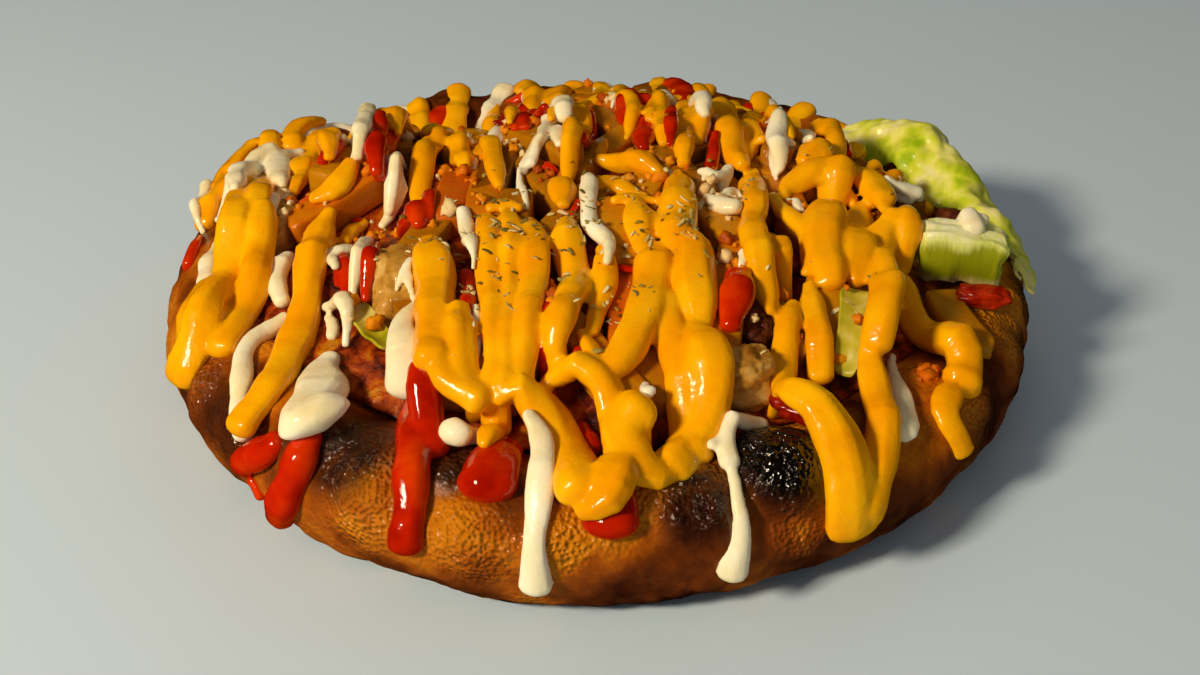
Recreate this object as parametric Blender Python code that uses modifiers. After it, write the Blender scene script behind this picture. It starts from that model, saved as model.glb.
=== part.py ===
"""Burger pizza: a thick round pizza heaped with chips, burger pieces, chicken, salad and three sauces.

Frame: +Z up, the origin under the middle of the whole on its flat base, the front towards -Y. Metres.
Places on the plan are in millimetres from the middle of the dough. Past the top of the rim the plan is
unrolled down its outer wall.
"""

import math
import random
from statistics import mean
from typing import NamedTuple

import bmesh
import bpy
from mathutils import Euler, Matrix, Vector, noise
from mathutils.bvhtree import BVHTree
from mathutils.kdtree import KDTree

MM = 0.001

# Dough base with its puffed rim
CRUST_RADIUS = 124 * MM
RIM_TUBE = 17 * MM
RIM_MIDDLE = 15.5 * MM
RIM_TOP = 32 * MM
FLOOR_THICKNESS = 12 * MM
FLOOR_RADIUS = 84 * MM
CRUST_STEPS = 60
RIM_DEGREES = (165, 130, 102, 80, 60, 40, 20, 0, -22, -44, -64)
BASE_DEGREES = -72

# Heaped filling
HEAP_RADIUS = 99 * MM
HEAP_SIDE = 31 * MM
HEAP_TOP = 48 * MM
HEAP_STEPS = 36
HEAP_SHARES = (0.16, 0.32, 0.47, 0.61, 0.74, 0.86, 0.96)
TIER_SPACING = 44 * MM
TIER_HEIGHT = 3.5 * MM
TIER_FRONT = 36 * MM

# Chips and diced pieces in the heap
CHIP_THICKNESS = 9.5 * MM
CHIP_LENGTHS = (30 * MM, 44 * MM)
CHIP_ROWS = 8
CHIP_SPACING = 23 * MM
CHIP_PITCH = 13.5 * MM
DICE_SIZE = 7 * MM
DICE_COUNT = 12

# Squeezed sauces
FINE = 2.5 * MM
STATION = 9 * MM
SIDES = 6
SAG = 0.25 * MM
SETTLE_ROUNDS = 40
THICKEST = 4.4 * MM
FLATNESS = 0.40
SINK = 0.35
WOBBLE = 0.10
RAY = 150 * MM
LOWEST = 1.2 * MM

# A line is drawn this much wider, as one with six flat sides is narrower between its corners, and it
# rests on the highest thing between two places this share of its width from its middle
FACET_SHARE = 1.14
SIDE_SHARE = 0.3

# Herb flakes
HERB_COUNT = 16
HERB_LENGTH = 4.2 * MM

# Room kept between neighbouring solids, how near two corners of the heap count as touching and how far
# they are then drawn in, and the number of facets the heap is brought down to
GAP = 0.4 * MM
TOUCHING = 0.004 * MM
DRAWN_IN = 0.02 * MM
HEAP_FACETS = 5950

SEED = 11


class Blister(NamedTuple):
    """A bubble baked into the rim: where it stands, how wide it is and how far it swells."""

    angle: float
    reach: float
    radius: float
    swell: float


class Hollow(NamedTuple):
    """A place where the heap lies lower: its middle on the plan, its radius and its depth."""

    x: float
    y: float
    radius: float
    depth: float


class Chip(NamedTuple):
    """A chip that shows between the sauces: its middle on the plan, its length, turn and lift."""

    x: float
    y: float
    length: float
    turn: float
    lift: float


class Chunk(NamedTuple):
    """A topping large enough to stand alone: its place, its size along each axis, turn, tilt and lift."""

    name: str
    x: float
    y: float
    size: tuple
    turn: float
    tilt: float
    lift: float


class Run(NamedTuple):
    """A squeezed line of sauce: its width where it starts and where it ends, and the places it passes."""

    width: float
    end_width: float
    places: tuple


class Rib(NamedTuple):
    """A station of the curly leaf: its angle, and how far out and how high its ridge is there."""

    angle: float
    reach: float
    height: float


BLISTERS = (
    Blister(-70, 115 * MM, 15 * MM, 6.0 * MM),
    Blister(-80.5, 123 * MM, 12 * MM, 3.0 * MM),
    Blister(-103, 131 * MM, 13 * MM, 2.0 * MM),
    Blister(-115.5, 125 * MM, 13 * MM, 2.5 * MM),
    Blister(-128, 118 * MM, 12 * MM, 3.0 * MM),
    Blister(-30, 116 * MM, 16 * MM, 3.0 * MM),
    Blister(75, 114 * MM, 15 * MM, 3.0 * MM),
    Blister(120, 117 * MM, 13 * MM, 2.0 * MM),
    Blister(152, 120 * MM, 26 * MM, 6.0 * MM),
    Blister(-160, 119 * MM, 12 * MM, 2.0 * MM),
)

HOLLOWS = (
    Hollow(66, 66, 42, 8),
    Hollow(-36, 62, 38, 9),
    Hollow(-52, 84, 34, 7),
)

# Chips seen in the gaps of the front
SHOWN_CHIPS = (
    Chip(5, -66, 34, 88, 3),
    Chip(2, -40, 26, 95, 3),
    Chip(10, -40, 28, 84, 2),
    Chip(22.5, -58, 32, 92, 3),
    Chip(-33, -17, 28, 92, 3),
    Chip(-42, -16, 28, 86, 2),
    Chip(-74, -6, 36, 35, 4),
    Chip(-73, 12, 34, 60, 4),
    Chip(-36, -78, 30, 85, 2),
    Chip(52, 14, 26, 70, 4),
    Chip(92, -52, 26, 98, 1),
)

CHUNKS = (
    Chunk("patty_1", 34, -67, (11, 18, 12), 10, -14, 3),
    Chunk("patty_2", -14, -79, (9, 15, 10), -8, -16, 0),
    Chunk("patty_3", 101, -5, (14, 7, 7), -40, 6, 6),
    Chunk("patty_4", 30, 30, (17, 14, 11), 30, 0, 5),
    Chunk("chicken_1", -52, -49, (17, 25, 15), 12, -14, 3),
    Chunk("chicken_2", 31, -86, (18, 14, 15), 8, -8, 4),
    Chunk("chicken_3", -93, -12, (14, 22, 12), -30, 0, 4),
    Chunk("chicken_4", 54, 34, (18, 13, 12), -20, 0, 5),
    Chunk("tomato_1", 100, -44, (14, 6, 5), -14, -12, 5),
    Chunk("tomato_2", 46, -97, (15, 7, 6), -32, -24, 6.8),
    Chunk("tomato_3", -26, 74, (24, 9, 8), 4, 6, 6),
)

# Lettuce: the curly leaf from its front end to its back end, the cut rib and the shreds
LEAF_RIBS = (
    Rib(-12, 113.5 * MM, 28 * MM),
    Rib(-6, 112.5 * MM, 29 * MM),
    Rib(4, 109.5 * MM, 35 * MM),
    Rib(13, 105.5 * MM, 44 * MM),
    Rib(20, 104.5 * MM, 50 * MM),
    Rib(29, 101 * MM, 46 * MM),
    Rib(36, 98 * MM, 37 * MM),
)
LEAF_COLUMNS = 21
LEAF_INNER = (0.5 * MM, 12 * MM)
LEAF_OUTER = (2 * MM, 12 * MM)
LEAF_THICKNESS = 1.3 * MM
LEAF_CLEAR = 1.2 * MM
EASE_ROUNDS = 5
EASE_SHARE = 0.9
LEAF_FRILL = 1.8 * MM

RIB_PLACE = (96.5, -28.5)
RIB_SIZE = (24 * MM, 11 * MM, 15 * MM)
RIB_TURN = -12
RIB_TILT = -6

SHRED_THICKNESS = 1.4 * MM
SHREDS = (
    ("lettuce_shred_1", Run(7, 5, ((-65, -53), (-60, -62), (-52, -75)))),
    ("lettuce_shred_2", Run(10, 6, ((64, -58), (62, -68), (58, -80)))),
    ("lettuce_shred_3", Run(5, 4, ((80, -17), (77, -27), (79, -38)))),
)

KETCHUP_RUNS = (
    Run(12, 7, ((-69, -98), (-74, -105), (-81, -110), (-89, -113))),
    Run(10, 7, ((-79, -96), (-87, -97), (-96, -96))),
    Run(10, 8, ((-46, -88), (-45, -101), (-44, -113), (-44, -120), (-47, -128))),
    Run(11, 9, ((-44, -88), (-42, -96), (-40, -107))),
    Run(12, 13, ((-23, -103), (-26, -112), (-27, -119))),
    Run(13, 13, ((1, -114), (1, -121), (1, -127))),
    Run(8, 6, ((-6, -97), (-3, -106))),
    Run(8, 9, ((35, -57), (32, -67), (30, -77))),
    Run(8, 7, ((-56, -20), (-49, -32))),
)

MAYONNAISE_RUNS = (
    Run(6, 6, ((-109, -2), (-111, -14), (-110, -28), (-108, -44), (-107, -52))),
    Run(11, 14, ((-69, -69), (-70, -79), (-69, -91), (-67, -98))),
    Run(7.5, 8, ((-87, -26), (-88, -36), (-85, -46))),
    Run(6, 8, ((-47, -62), (-50, -72), (-48, -81), (-49, -86))),
    Run(7, 8, ((-29, -100), (-33, -102), (-36, -106))),
)

CHEESE_RUNS = (
    Run(10, 13, ((-107, 20), (-104, -2), (-102, -18), (-102, -31), (-103, -45), (-106, -56), (-113, -63))),
    Run(10, 9, ((-95, -14), (-94, -26), (-94, -39), (-96, -50), (-99, -62))),
    Run(9, 9, ((-77, -19), (-79, -33), (-78, -47), (-79, -57), (-81, -71), (-83, -82), (-87, -90))),
    Run(12, 10, ((-46, -40), (-44, -54), (-42, -69), (-41, -81), (-41, -90))),
    Run(9, 9, ((-41, -90), (-37, -94), (-32, -97), (-28, -100))),
    Run(9, 8, ((-36, -72), (-35, -83), (-34, -91), (-32, -97))),
    Run(7, 7, ((-32, -33), (-30, -46), (-29, -58), (-27, -76), (-26, -90), (-26, -98))),
    Run(7, 7, ((-26, -32), (-24, -46), (-23, -60), (-23, -78), (-23, -90), (-24, -98))),
    Run(7.5, 6.5, ((-20, -37), (-18, -50), (-18, -64), (-19, -80), (-20, -96))),
    Run(10.5, 8, ((-10, -40), (-9, -50), (-7, -60), (-9, -74), (-11, -83), (-12, -87), (-10, -91))),
    Run(7, 6, ((-1, -50), (0, -62), (-2, -72), (-4, -82))),
    Run(10, 9, ((12, -48), (12, -58), (10, -72), (6, -83), (3, -90), (0, -96))),
    Run(10, 10, ((14, -54), (15, -70), (16, -81), (18, -91), (18, -100), (17, -108), (13, -115))),
    Run(9.5, 9, ((14, -115), (9, -118), (5, -115), (4, -108), (7, -103))),
    Run(10, 10, ((21, -44), (22, -58), (22, -70), (23, -79))),
    Run(10, 9, ((23, -76), (25, -85), (26, -93), (25, -100), (23, -107))),
    Run(7, 12, ((20, -10), (20, -20), (19, -34), (18, -50))),
    Run(8, 8, ((8, -30), (9, -40), (9, -50))),
    Run(7, 7, ((-4, -22), (2, -18), (8, -22), (13, -24))),
    Run(10, 3, ((-26, -100), (-27, -104), (-28, -111))),
    Run(10, 12, ((-25, -99), (-20, -97), (-15, -99), (-11, -105), (-8, -115), (-6, -123))),
    Run(10, 9, ((-5, -124), (-1, -124), (2, -120), (3, -116))),
    Run(8, 8, ((-16, -93), (-10, -91), (-3, -94), (1, -101), (3, -109), (3, -116))),
    Run(7.5, 7, ((42, -1), (40, -20), (38, -42), (39, -56), (41, -70))),
    Run(7, 7, ((44, -28), (44, -42), (47, -54))),
    Run(7, 7, ((47, -62), (44, -73), (42, -85), (43, -94))),
    Run(8, 8, ((53, -54), (54, -66), (54, -76), (54, -82))),
    Run(11, 12, ((64, -12), (59, -28), (57, -42), (58, -55))),
    Run(10, 9, ((71, -14), (68, -24), (65, -42), (65, -52))),
    Run(10, 8, ((78, -24), (73, -31), (70, -44), (70, -53), (67, -65), (64, -77))),
    Run(10, 9, ((82, -22), (81, -28), (79, -36))),
    Run(9, 11, ((78, -35), (79, -46), (82, -56), (86, -63), (89, -69), (88, -76))),
    Run(9, 7, ((88, -75), (84, -81), (83, -87), (87, -91), (92, -94))),
    Run(9, 15, ((40, -91), (43, -95), (48, -100), (52, -104), (55, -109), (57, -115), (59, -122))),
    Run(9, 11, ((64, -77), (65, -85), (65, -95), (64, -103), (61, -117))),
    Run(9, 8, ((69, -2), (74, -6), (76, -14), (76, -22))),
    Run(9, 8, ((66, -2), (58, -7), (51, -12), (49, -17))),
    Run(12, 12, ((67, -1), (65, -8), (62, -16))),
)

MAYONNAISE_OVER = (
    Run(4, 8, ((-21, -100), (-17, -104), (-15, -110), (-15, -117))),
    Run(8, 5, ((-15, -117), (-15, -124), (-16, -131), (-17, -141))),
    Run(8, 7, ((34, -97), (31, -101), (29, -107), (28, -113))),
)

BACK_KETCHUP = (
    Run(8, 8, ((-66, 40), (-65, 22), (-65, 4), (-63, -6))),
    Run(7, 6, ((-26, 46), (-23, 18))),
    Run(9, 8, ((8, 54), (7, 38), (10, 24))),
    Run(7, 6, ((-56, -9), (-49, -34))),
)

BACK_MAYONNAISE = (
    Run(6, 6, ((80, -2), (85, -5), (89, -6))),
)

BACK_CHEESE = (
    Run(7, 8, ((-104, 56), (-104, 36), (-101, 12), (-98, -10), (-98, -25))),
    Run(9, 9, ((-76, -16), (-78, -28), (-78, -40), (-78, -56))),
    Run(7, 7, ((-86, 36), (-82, 18), (-78, 0))),
    Run(8, 8, ((-53, 24), (-53, 10), (-53, -2), (-51, -13))),
    Run(7, 7, ((-54, 52), (-54, 34))),
    Run(7, 7, ((-9, 46), (-10, 26), (-10, 2), (-11, -16))),
    Run(8, 8, ((-12, 52), (-6, 58), (2, 64), (12, 67), (18, 62))),
    Run(7, 7, ((18, 64), (28, 68), (38, 66), (48, 62), (53, 56))),
    Run(7, 7, ((28, 64), (25, 43), (23, 18), (22, -7))),
    Run(8, 9, ((36, 60), (36, 34), (36, 12), (39, -4))),
    Run(7, 7, ((48, 54), (43, 26), (41, 6))),
    Run(8, 8, ((-2, 2), (4, 0), (11, -8), (16, -13))),
    Run(8, 8, ((-12, -15), (-11, -33))),
    Run(10, 10, ((56, 0), (63, 8), (70, 4))),
    Run(8, 8, ((58, -10), (65, -8), (71, -12))),
    Run(8, 8, ((-72, 0), (-76, -8), (-82, -10))),
    Run(8, 7, ((66, 58), (66, 40), (64, 24))),
    Run(7, 7, ((76, 52), (77, 36), (74, 22))),
    Run(9, 9, ((-92, 56), (-92, 36), (-90, 16))),
    Run(8, 7, ((-97, 40), (-107, 34), (-116, 22), (-120, 8))),
    Run(9, 8, ((-72, 70), (-72, 50), (-70, 30))),
    Run(8, 8, ((-62, 58), (-63, 38), (-62, 20))),
)

# The far side, out of sight: how far its lines reach to the left, right, front and back, and their sway
LANE_LEFT = -84
LANE_RIGHT = 86
LANE_FRONT = 62
LANE_BACK = 108
LANE_SWAY = 3.5


def rim_radius(angle):
    """Outer radius of the crust at an angle, hand stretched and so not quite round."""
    return CRUST_RADIUS * (
        1.002
        + 0.040 * math.cos(angle + 2.05)
        + 0.016 * math.cos(3 * angle + 4.75)
        + 0.004 * math.cos(7 * angle)
    )


def around_rim(point):
    """Base point and outward direction of the rim at a place in the plan.

    Inside the rim's middle line the direction is straight up. Past it the rim's outer wall is unrolled
    in the plan, so the direction leans outwards and then down as the place moves away from the centre.
    """
    x, y = point
    angle = math.atan2(y, x)
    reach = math.hypot(x, y)
    middle = rim_radius(angle) - RIM_TUBE
    lean = max(0.0, (reach - middle) / RIM_TUBE)
    held = min(reach, middle)
    outward = Vector((math.cos(angle), math.sin(angle), 0))
    base = outward * held + Vector((0, 0, RIM_MIDDLE))
    direction = outward * math.sin(lean) + Vector((0, 0, math.cos(lean)))
    return base, direction


def heap_reach(angle):
    """How far out the filling comes at an angle: it spills over the rim on the left and fills it in front."""
    left = math.exp(-(((math.degrees(angle) % 360) - 170) / 36) ** 2)
    front = math.exp(-(((math.degrees(angle) % 360) - 262) / 42) ** 2)
    return HEAP_RADIUS + 16 * MM * left + 5 * MM * front


def heap_height(x, y):
    """Height of the bare heap: a low dome with three soft tiers across it."""
    share = min(1.0, math.hypot(x, y) / heap_reach(math.atan2(y, x)))
    dome = HEAP_SIDE + (HEAP_TOP - HEAP_SIDE) * (1 - share**2.6)
    tiers = TIER_HEIGHT * math.cos(math.tau * (y + TIER_FRONT) / TIER_SPACING)
    lumps = 2.5 * MM * noise.noise(Vector((x, y, 0)) * 38)
    sunk = 0.0
    for hollow in HOLLOWS:
        away = math.hypot(x / MM - hollow.x, y / MM - hollow.y) / hollow.radius
        sunk += hollow.depth * MM * math.exp(-(away**2))
    return dome + (tiers + lumps) * (1 - share**3) - sunk


def material(name, colour, roughness):
    """A plain finish for a sub-part."""
    made = bpy.data.materials.new(name)
    made.use_nodes = True
    shader = made.node_tree.nodes["Principled BSDF"]
    shader.inputs["Base Color"].default_value = (*colour, 1)
    shader.inputs["Roughness"].default_value = roughness
    shader.inputs["Metallic"].default_value = 0
    return made


def new_object(name, mesh, collection):
    """Links a mesh into a collection as a named object."""
    made = bpy.data.objects.new(name, mesh)
    collection.objects.link(made)
    return made


def from_faces(name, points, faces, collection):
    """A named object from points and faces, its faces turned outwards."""
    mesh = bpy.data.meshes.new(name)
    mesh.from_pydata(points, [], faces)
    facing_out(mesh)
    return new_object(name, mesh, collection)


def facing_out(mesh):
    """Turns every face of a closed mesh outwards."""
    shape = bmesh.new()
    shape.from_mesh(mesh)
    bmesh.ops.recalc_face_normals(shape, faces=shape.faces)
    shape.to_mesh(mesh)
    shape.free()


def into_triangles(mesh):
    """Splits every face of a mesh into triangles."""
    shape = bmesh.new()
    shape.from_mesh(mesh)
    bmesh.ops.triangulate(shape, faces=shape.faces)
    shape.to_mesh(mesh)
    shape.free()


def apply_modifiers(made):
    """Puts an object's modifiers into its mesh."""
    graph = bpy.context.evaluated_depsgraph_get()
    worked = bpy.data.meshes.new_from_object(made.evaluated_get(graph))
    made.modifiers.clear()
    made.data = worked


def turned(name, outline, steps, collection):
    """A mesh object turned round the Z axis from an outline of (radius, height), top to bottom."""
    mesh = bpy.data.meshes.new(name)
    points = [(radius, 0, height) for radius, height in outline]
    mesh.from_pydata(points, [(i, i + 1) for i in range(len(points) - 1)], [])
    made = new_object(name, mesh, collection)
    screw = made.modifiers.new("turn", "SCREW")
    screw.steps = steps
    screw.render_steps = steps
    screw.use_merge_vertices = True
    screw.merge_threshold = 0.01 * MM
    weld = made.modifiers.new("weld", "WELD")
    weld.merge_threshold = 0.01 * MM
    bpy.context.view_layer.update()
    apply_modifiers(made)
    facing_out(made.data)
    return made


def crust_outline():
    """The crust's section from the middle of its floor, over the rim and round to the base."""
    centre = CRUST_RADIUS - RIM_TUBE
    outline = [(0, FLOOR_THICKNESS), (FLOOR_RADIUS, FLOOR_THICKNESS + MM)]
    for degrees in RIM_DEGREES:
        turn = math.radians(degrees)
        height = RIM_MIDDLE + (RIM_TOP - RIM_MIDDLE) * math.sin(turn)
        outline.append((centre + RIM_TUBE * math.cos(turn), height))
    outline.append((centre + RIM_TUBE * math.cos(math.radians(BASE_DEGREES)), 0))
    outline.append((0, 0))
    return outline


def make_crust(collection):
    """The dough: turned, then stretched out of round, swollen at its blisters and made lumpy."""
    crust = turned("crust", crust_outline(), CRUST_STEPS, collection)
    blisters = []
    for blister in BLISTERS:
        turn = math.radians(blister.angle)
        base, direction = around_rim((blister.reach * math.cos(turn), blister.reach * math.sin(turn)))
        blisters.append((base + direction * RIM_TUBE, blister))
    for vertex in crust.data.vertices:
        x, y, z = vertex.co
        if math.hypot(x, y) <= FLOOR_RADIUS + MM:
            continue
        vertex.co.xy = vertex.co.xy * (rim_radius(math.atan2(y, x)) / CRUST_RADIUS)
        if z > MM:
            base, direction = around_rim(vertex.co.xy)
            outward = (vertex.co - base).normalized()
            push = 1.4 * MM * noise.noise(vertex.co * 60) + 0.8 * MM * noise.noise(vertex.co * 140)
            for centre, blister in blisters:
                near = 1 - ((vertex.co - centre).length / blister.radius) ** 2
                push += blister.swell * max(0.0, near) ** 1.3
            vertex.co += outward * push
    into_triangles(crust.data)
    return crust


def make_core(collection):
    """The body of the heap: from the dough's floor up to the tiers, under the pieces that show."""
    outline = [(0, 1)] + [(share, 1) for share in HEAP_SHARES]
    outline += [(1, 1), (0.94, 0.55), (0.86, 0.2), (0.76, 0), (0, 0)]
    core = turned("filling", outline, HEAP_STEPS, collection)
    floor = FLOOR_THICKNESS + MM + 2 * GAP
    for vertex in core.data.vertices:
        x, y, level = vertex.co
        angle = math.atan2(y, x)
        reach = heap_reach(angle)
        vertex.co.xy = vertex.co.xy * reach
        top = heap_height(vertex.co.x, vertex.co.y)
        vertex.co.z = floor + (top - floor) * level
    return core


def box(name, place, size, collection):
    """A closed box of a size, standing where a matrix puts it."""
    shape = bmesh.new()
    bmesh.ops.create_cube(shape, size=1, matrix=place @ Matrix.Diagonal((*size, 1)))
    mesh = bpy.data.meshes.new(name)
    shape.to_mesh(mesh)
    shape.free()
    return new_object(name, mesh, collection)


def chip_place(chip):
    """Where a chip lies: along the slope of the heap under its two ends."""
    turn = math.radians(chip.turn)
    along = Vector((math.cos(turn), math.sin(turn))) * chip.length * MM / 2
    middle = Vector((chip.x, chip.y)) * MM
    low = heap_height(*(middle - along))
    high = heap_height(*(middle + along))
    pitch = math.atan2(high - low, chip.length * MM)
    height = max(heap_height(*middle), (low + high) / 2) + chip.lift * MM
    return Matrix.Translation((*middle, height)) @ Euler((0, -pitch, turn)).to_matrix().to_4x4()


def scattered_chips():
    """The other chips: rows across the heap, each chip shifted, turned and lifted a little."""
    draw = random.Random(SEED)
    chips = []
    for row in range(CHIP_ROWS):
        y = (row - (CHIP_ROWS - 1) / 2) * CHIP_SPACING + draw.uniform(-4, 4) * MM
        half = HEAP_RADIUS**2 - y * y
        across = math.sqrt(half) - 8 * MM if half > 0 else 0
        for step in range(int(2 * across / CHIP_PITCH)):
            if draw.random() < 0.42:
                continue
            x = -across + (step + 0.5) * CHIP_PITCH + draw.uniform(-3, 3) * MM
            length = draw.uniform(*CHIP_LENGTHS)
            room = HEAP_RADIUS - math.hypot(x, y) - 0.3 * length
            if room < 0:
                continue
            chips.append(Chip(x / MM, y / MM, length / MM, 90 + draw.uniform(-40, 40), draw.uniform(0, 3.5)))
    return chips


def make_chips(collection):
    """All chips as boxes, as thick as cut."""
    for number, chip in enumerate((*SHOWN_CHIPS, *scattered_chips())):
        size = (chip.length * MM, CHIP_THICKNESS, CHIP_THICKNESS * 0.94)
        box(f"chip_{number}", chip_place(chip), size, collection)


def make_dice(collection):
    """Small diced pieces of onion and tomato, spread over the heap."""
    draw = random.Random(SEED + 1)
    for number in range(DICE_COUNT):
        reach = HEAP_RADIUS * 0.9 * math.sqrt(draw.random())
        angle = draw.uniform(0, math.tau)
        x, y = reach * math.cos(angle), reach * math.sin(angle)
        turn = Euler((draw.uniform(-0.5, 0.5), draw.uniform(-0.5, 0.5), draw.uniform(0, 3)))
        height = heap_height(x, y) + 0.3 * DICE_SIZE
        place = Matrix.Translation((x, y, height)) @ turn.to_matrix().to_4x4()
        box(f"dice_{number}", place, (DICE_SIZE, DICE_SIZE * 0.9, DICE_SIZE * 0.8), collection)


def make_chunk(chunk, collection):
    """One burger, chicken or tomato piece: a rounded lump with an uneven skin."""
    shape = bmesh.new()
    bmesh.ops.create_icosphere(shape, subdivisions=2, radius=0.5)
    offset = Vector((chunk.x, chunk.y, 0))
    for vertex in shape.verts:
        squared = Vector([math.copysign(abs(part * 2) ** 0.7, part) / 2 for part in vertex.co])
        vertex.co = squared * (1 + 0.22 * noise.noise(vertex.co * 4 + offset))
    size = Matrix.Diagonal((*[side * MM for side in chunk.size], 1))
    turn = Euler((math.radians(-chunk.tilt), 0, math.radians(chunk.turn))).to_matrix().to_4x4()
    x, y = chunk.x * MM, chunk.y * MM
    ground = max(heap_height(x, y), RIM_TOP if math.hypot(x, y) > HEAP_RADIUS else 0)
    shape.transform(Matrix.Translation((x, y, ground + chunk.lift * MM)) @ turn @ size)
    mesh = bpy.data.meshes.new(chunk.name)
    shape.to_mesh(mesh)
    shape.free()
    return new_object(chunk.name, mesh, collection)


def tree_of(objects):
    """A search tree over the faces of several objects."""
    points = []
    faces = []
    for made in objects:
        start = len(points)
        points += [vertex.co.copy() for vertex in made.data.vertices]
        faces += [[start + corner for corner in face.vertices] for face in made.data.polygons]
    return BVHTree.FromPolygons(points, faces)


def height_over(tree, base, direction):
    """How far along a direction from a base point the outermost surface is."""
    hit = tree.ray_cast(base + direction * RAY, -direction)[0]
    return (hit - base).dot(direction) if hit else RIM_TUBE


def traced(places):
    """Evenly spaced points along a smooth line through some places on the plan."""
    ends = [Vector(place) * MM for place in places]
    ends = [ends[0] * 2 - ends[1], *ends, ends[-1] * 2 - ends[-2]]
    dense = []
    for before, start, end, after in zip(ends, ends[1:], ends[2:], ends[3:]):
        for step in range(20):
            t = step / 20
            dense.append(
                0.5
                * (
                    2 * start
                    + (end - before) * t
                    + (2 * before - 5 * start + 4 * end - after) * t * t
                    + (3 * start - before - 3 * end + after) * t**3
                )
            )
    dense.append(ends[-2])
    points = [dense[0]]
    for point in dense[1:]:
        while (point - points[-1]).length >= FINE:
            points.append(points[-1] + (point - points[-1]).normalized() * FINE)
    return points


class Station(NamedTuple):
    """A cut through a run of sauce: its middle, the way it rises, and its half width and half height."""

    middle: Vector
    rise: Vector
    wide: float
    high: float


def highest_under(tree, points, width):
    """How high the ground is at points along a line: the highest under its middle and its two sides."""
    heights = []
    for i, point in enumerate(points):
        along = (points[min(i + 1, len(points) - 1)] - points[max(i - 1, 0)]).normalized()
        aside = Vector((-along.y, along.x)) * width * SIDE_SHARE
        heights.append(max(height_over(tree, *around_rim(spot)) for spot in (point, point + aside, point - aside)))
    return heights


def laid(run, tree, number):
    """The stations of a run that lies on what a tree holds, bridging the gaps as thick sauce does."""
    points = traced(run.places)
    bases = [around_rim(point) for point in points]
    ground = highest_under(tree, points, (run.width + run.end_width) / 2 * MM)
    heights = list(ground)
    for _ in range(SETTLE_ROUNDS):
        for i in range(1, len(heights) - 1):
            heights[i] = max(ground[i], (heights[i - 1] + heights[i + 1]) / 2 - SAG)
    stations = []
    for i, (base, direction) in enumerate(bases):
        share = i / max(1, len(bases) - 1)
        wobble = 1 + WOBBLE * noise.noise(Vector((i * 0.35, number * 7.3, 0.5)))
        wide = (run.width + (run.end_width - run.width) * share) * MM / 2 * wobble * FACET_SHARE
        high = min(FLATNESS * wide * 2, THICKEST)
        stations.append(Station(base + direction * (heights[i] + SINK * high), direction, wide, high))
    return stations


def rounded_ends(stations, spacing):
    """Stations spaced along a run, those at its ends drawn in so that the sauce ends round."""
    count = max(2, round((len(stations) - 1) * FINE / spacing) + 1)
    picks = [round(i * (len(stations) - 1) / (count - 1)) for i in range(count)]
    chosen = [stations[pick] for pick in picks]
    first, last = chosen[0], chosen[-1]
    chosen[0] = first._replace(wide=first.wide * 0.7, high=first.high * 0.7)
    chosen[-1] = last._replace(wide=last.wide * 0.7, high=last.high * 0.7)
    return chosen


def lofted(name, stations, sides, collection):
    """A closed tube through stations, with a point at each end."""
    middles = [station.middle for station in stations]
    points = []
    for i, station in enumerate(stations):
        along = (middles[min(i + 1, len(middles) - 1)] - middles[max(i - 1, 0)]).normalized()
        rise = (station.rise - along * station.rise.dot(along)).normalized()
        across = along.cross(rise)
        for side in range(sides):
            turn = math.tau * side / sides
            spot = across * math.cos(turn) * station.wide + rise * math.sin(turn) * station.high
            points.append(station.middle + spot)
    out = (middles[0] - middles[1]).normalized() * stations[0].wide * 0.6
    points.append(middles[0] + out)
    out = (middles[-1] - middles[-2]).normalized() * stations[-1].wide * 0.6
    points.append(middles[-1] + out)
    for point in points:
        point.z = max(point.z, LOWEST)
    faces = []
    for ring in range(len(stations) - 1):
        for side in range(sides):
            beside = (side + 1) % sides
            low, high = ring * sides, (ring + 1) * sides
            faces.append((low + side, low + beside, high + beside, high + side))
    first, last, top = len(points) - 2, len(points) - 1, (len(stations) - 1) * sides
    for side in range(sides):
        beside = (side + 1) % sides
        faces.append((first, beside, side))
        faces.append((last, top + side, top + beside))
    return from_faces(name, points, faces, collection)


def behind(spacing, width, seed):
    """Lines over the far side, from outside the back rim up to the third tier."""
    draw = random.Random(SEED + seed)
    runs = []
    x = LANE_LEFT + draw.uniform(0, spacing)
    while x < LANE_RIGHT:
        back = math.sqrt(max(0.0, (LANE_BACK + draw.uniform(-9, 4)) ** 2 - x * x))
        front = LANE_FRONT + draw.uniform(-2, 10)
        shift = draw.uniform(-LANE_SWAY, LANE_SWAY)
        end = width + draw.uniform(-2, 2)
        if back > front + 12:
            middle = (back + front) / 2
            runs.append(Run(width, end, ((x, front), (x + shift, middle), (x - shift, back))))
        x += spacing * draw.uniform(0.75, 1.25)
    return tuple(runs)


def make_layer(name, runs, ground, collection):
    """One layer of runs, each laid on the ground that was there before the layer."""
    tree = tree_of(ground)
    made = []
    for number, run in enumerate(runs):
        stations = rounded_ends(laid(run, tree, number + len(name)), STATION)
        made.append(lofted(f"{name}_{number}", stations, SIDES, collection))
    return made


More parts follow.
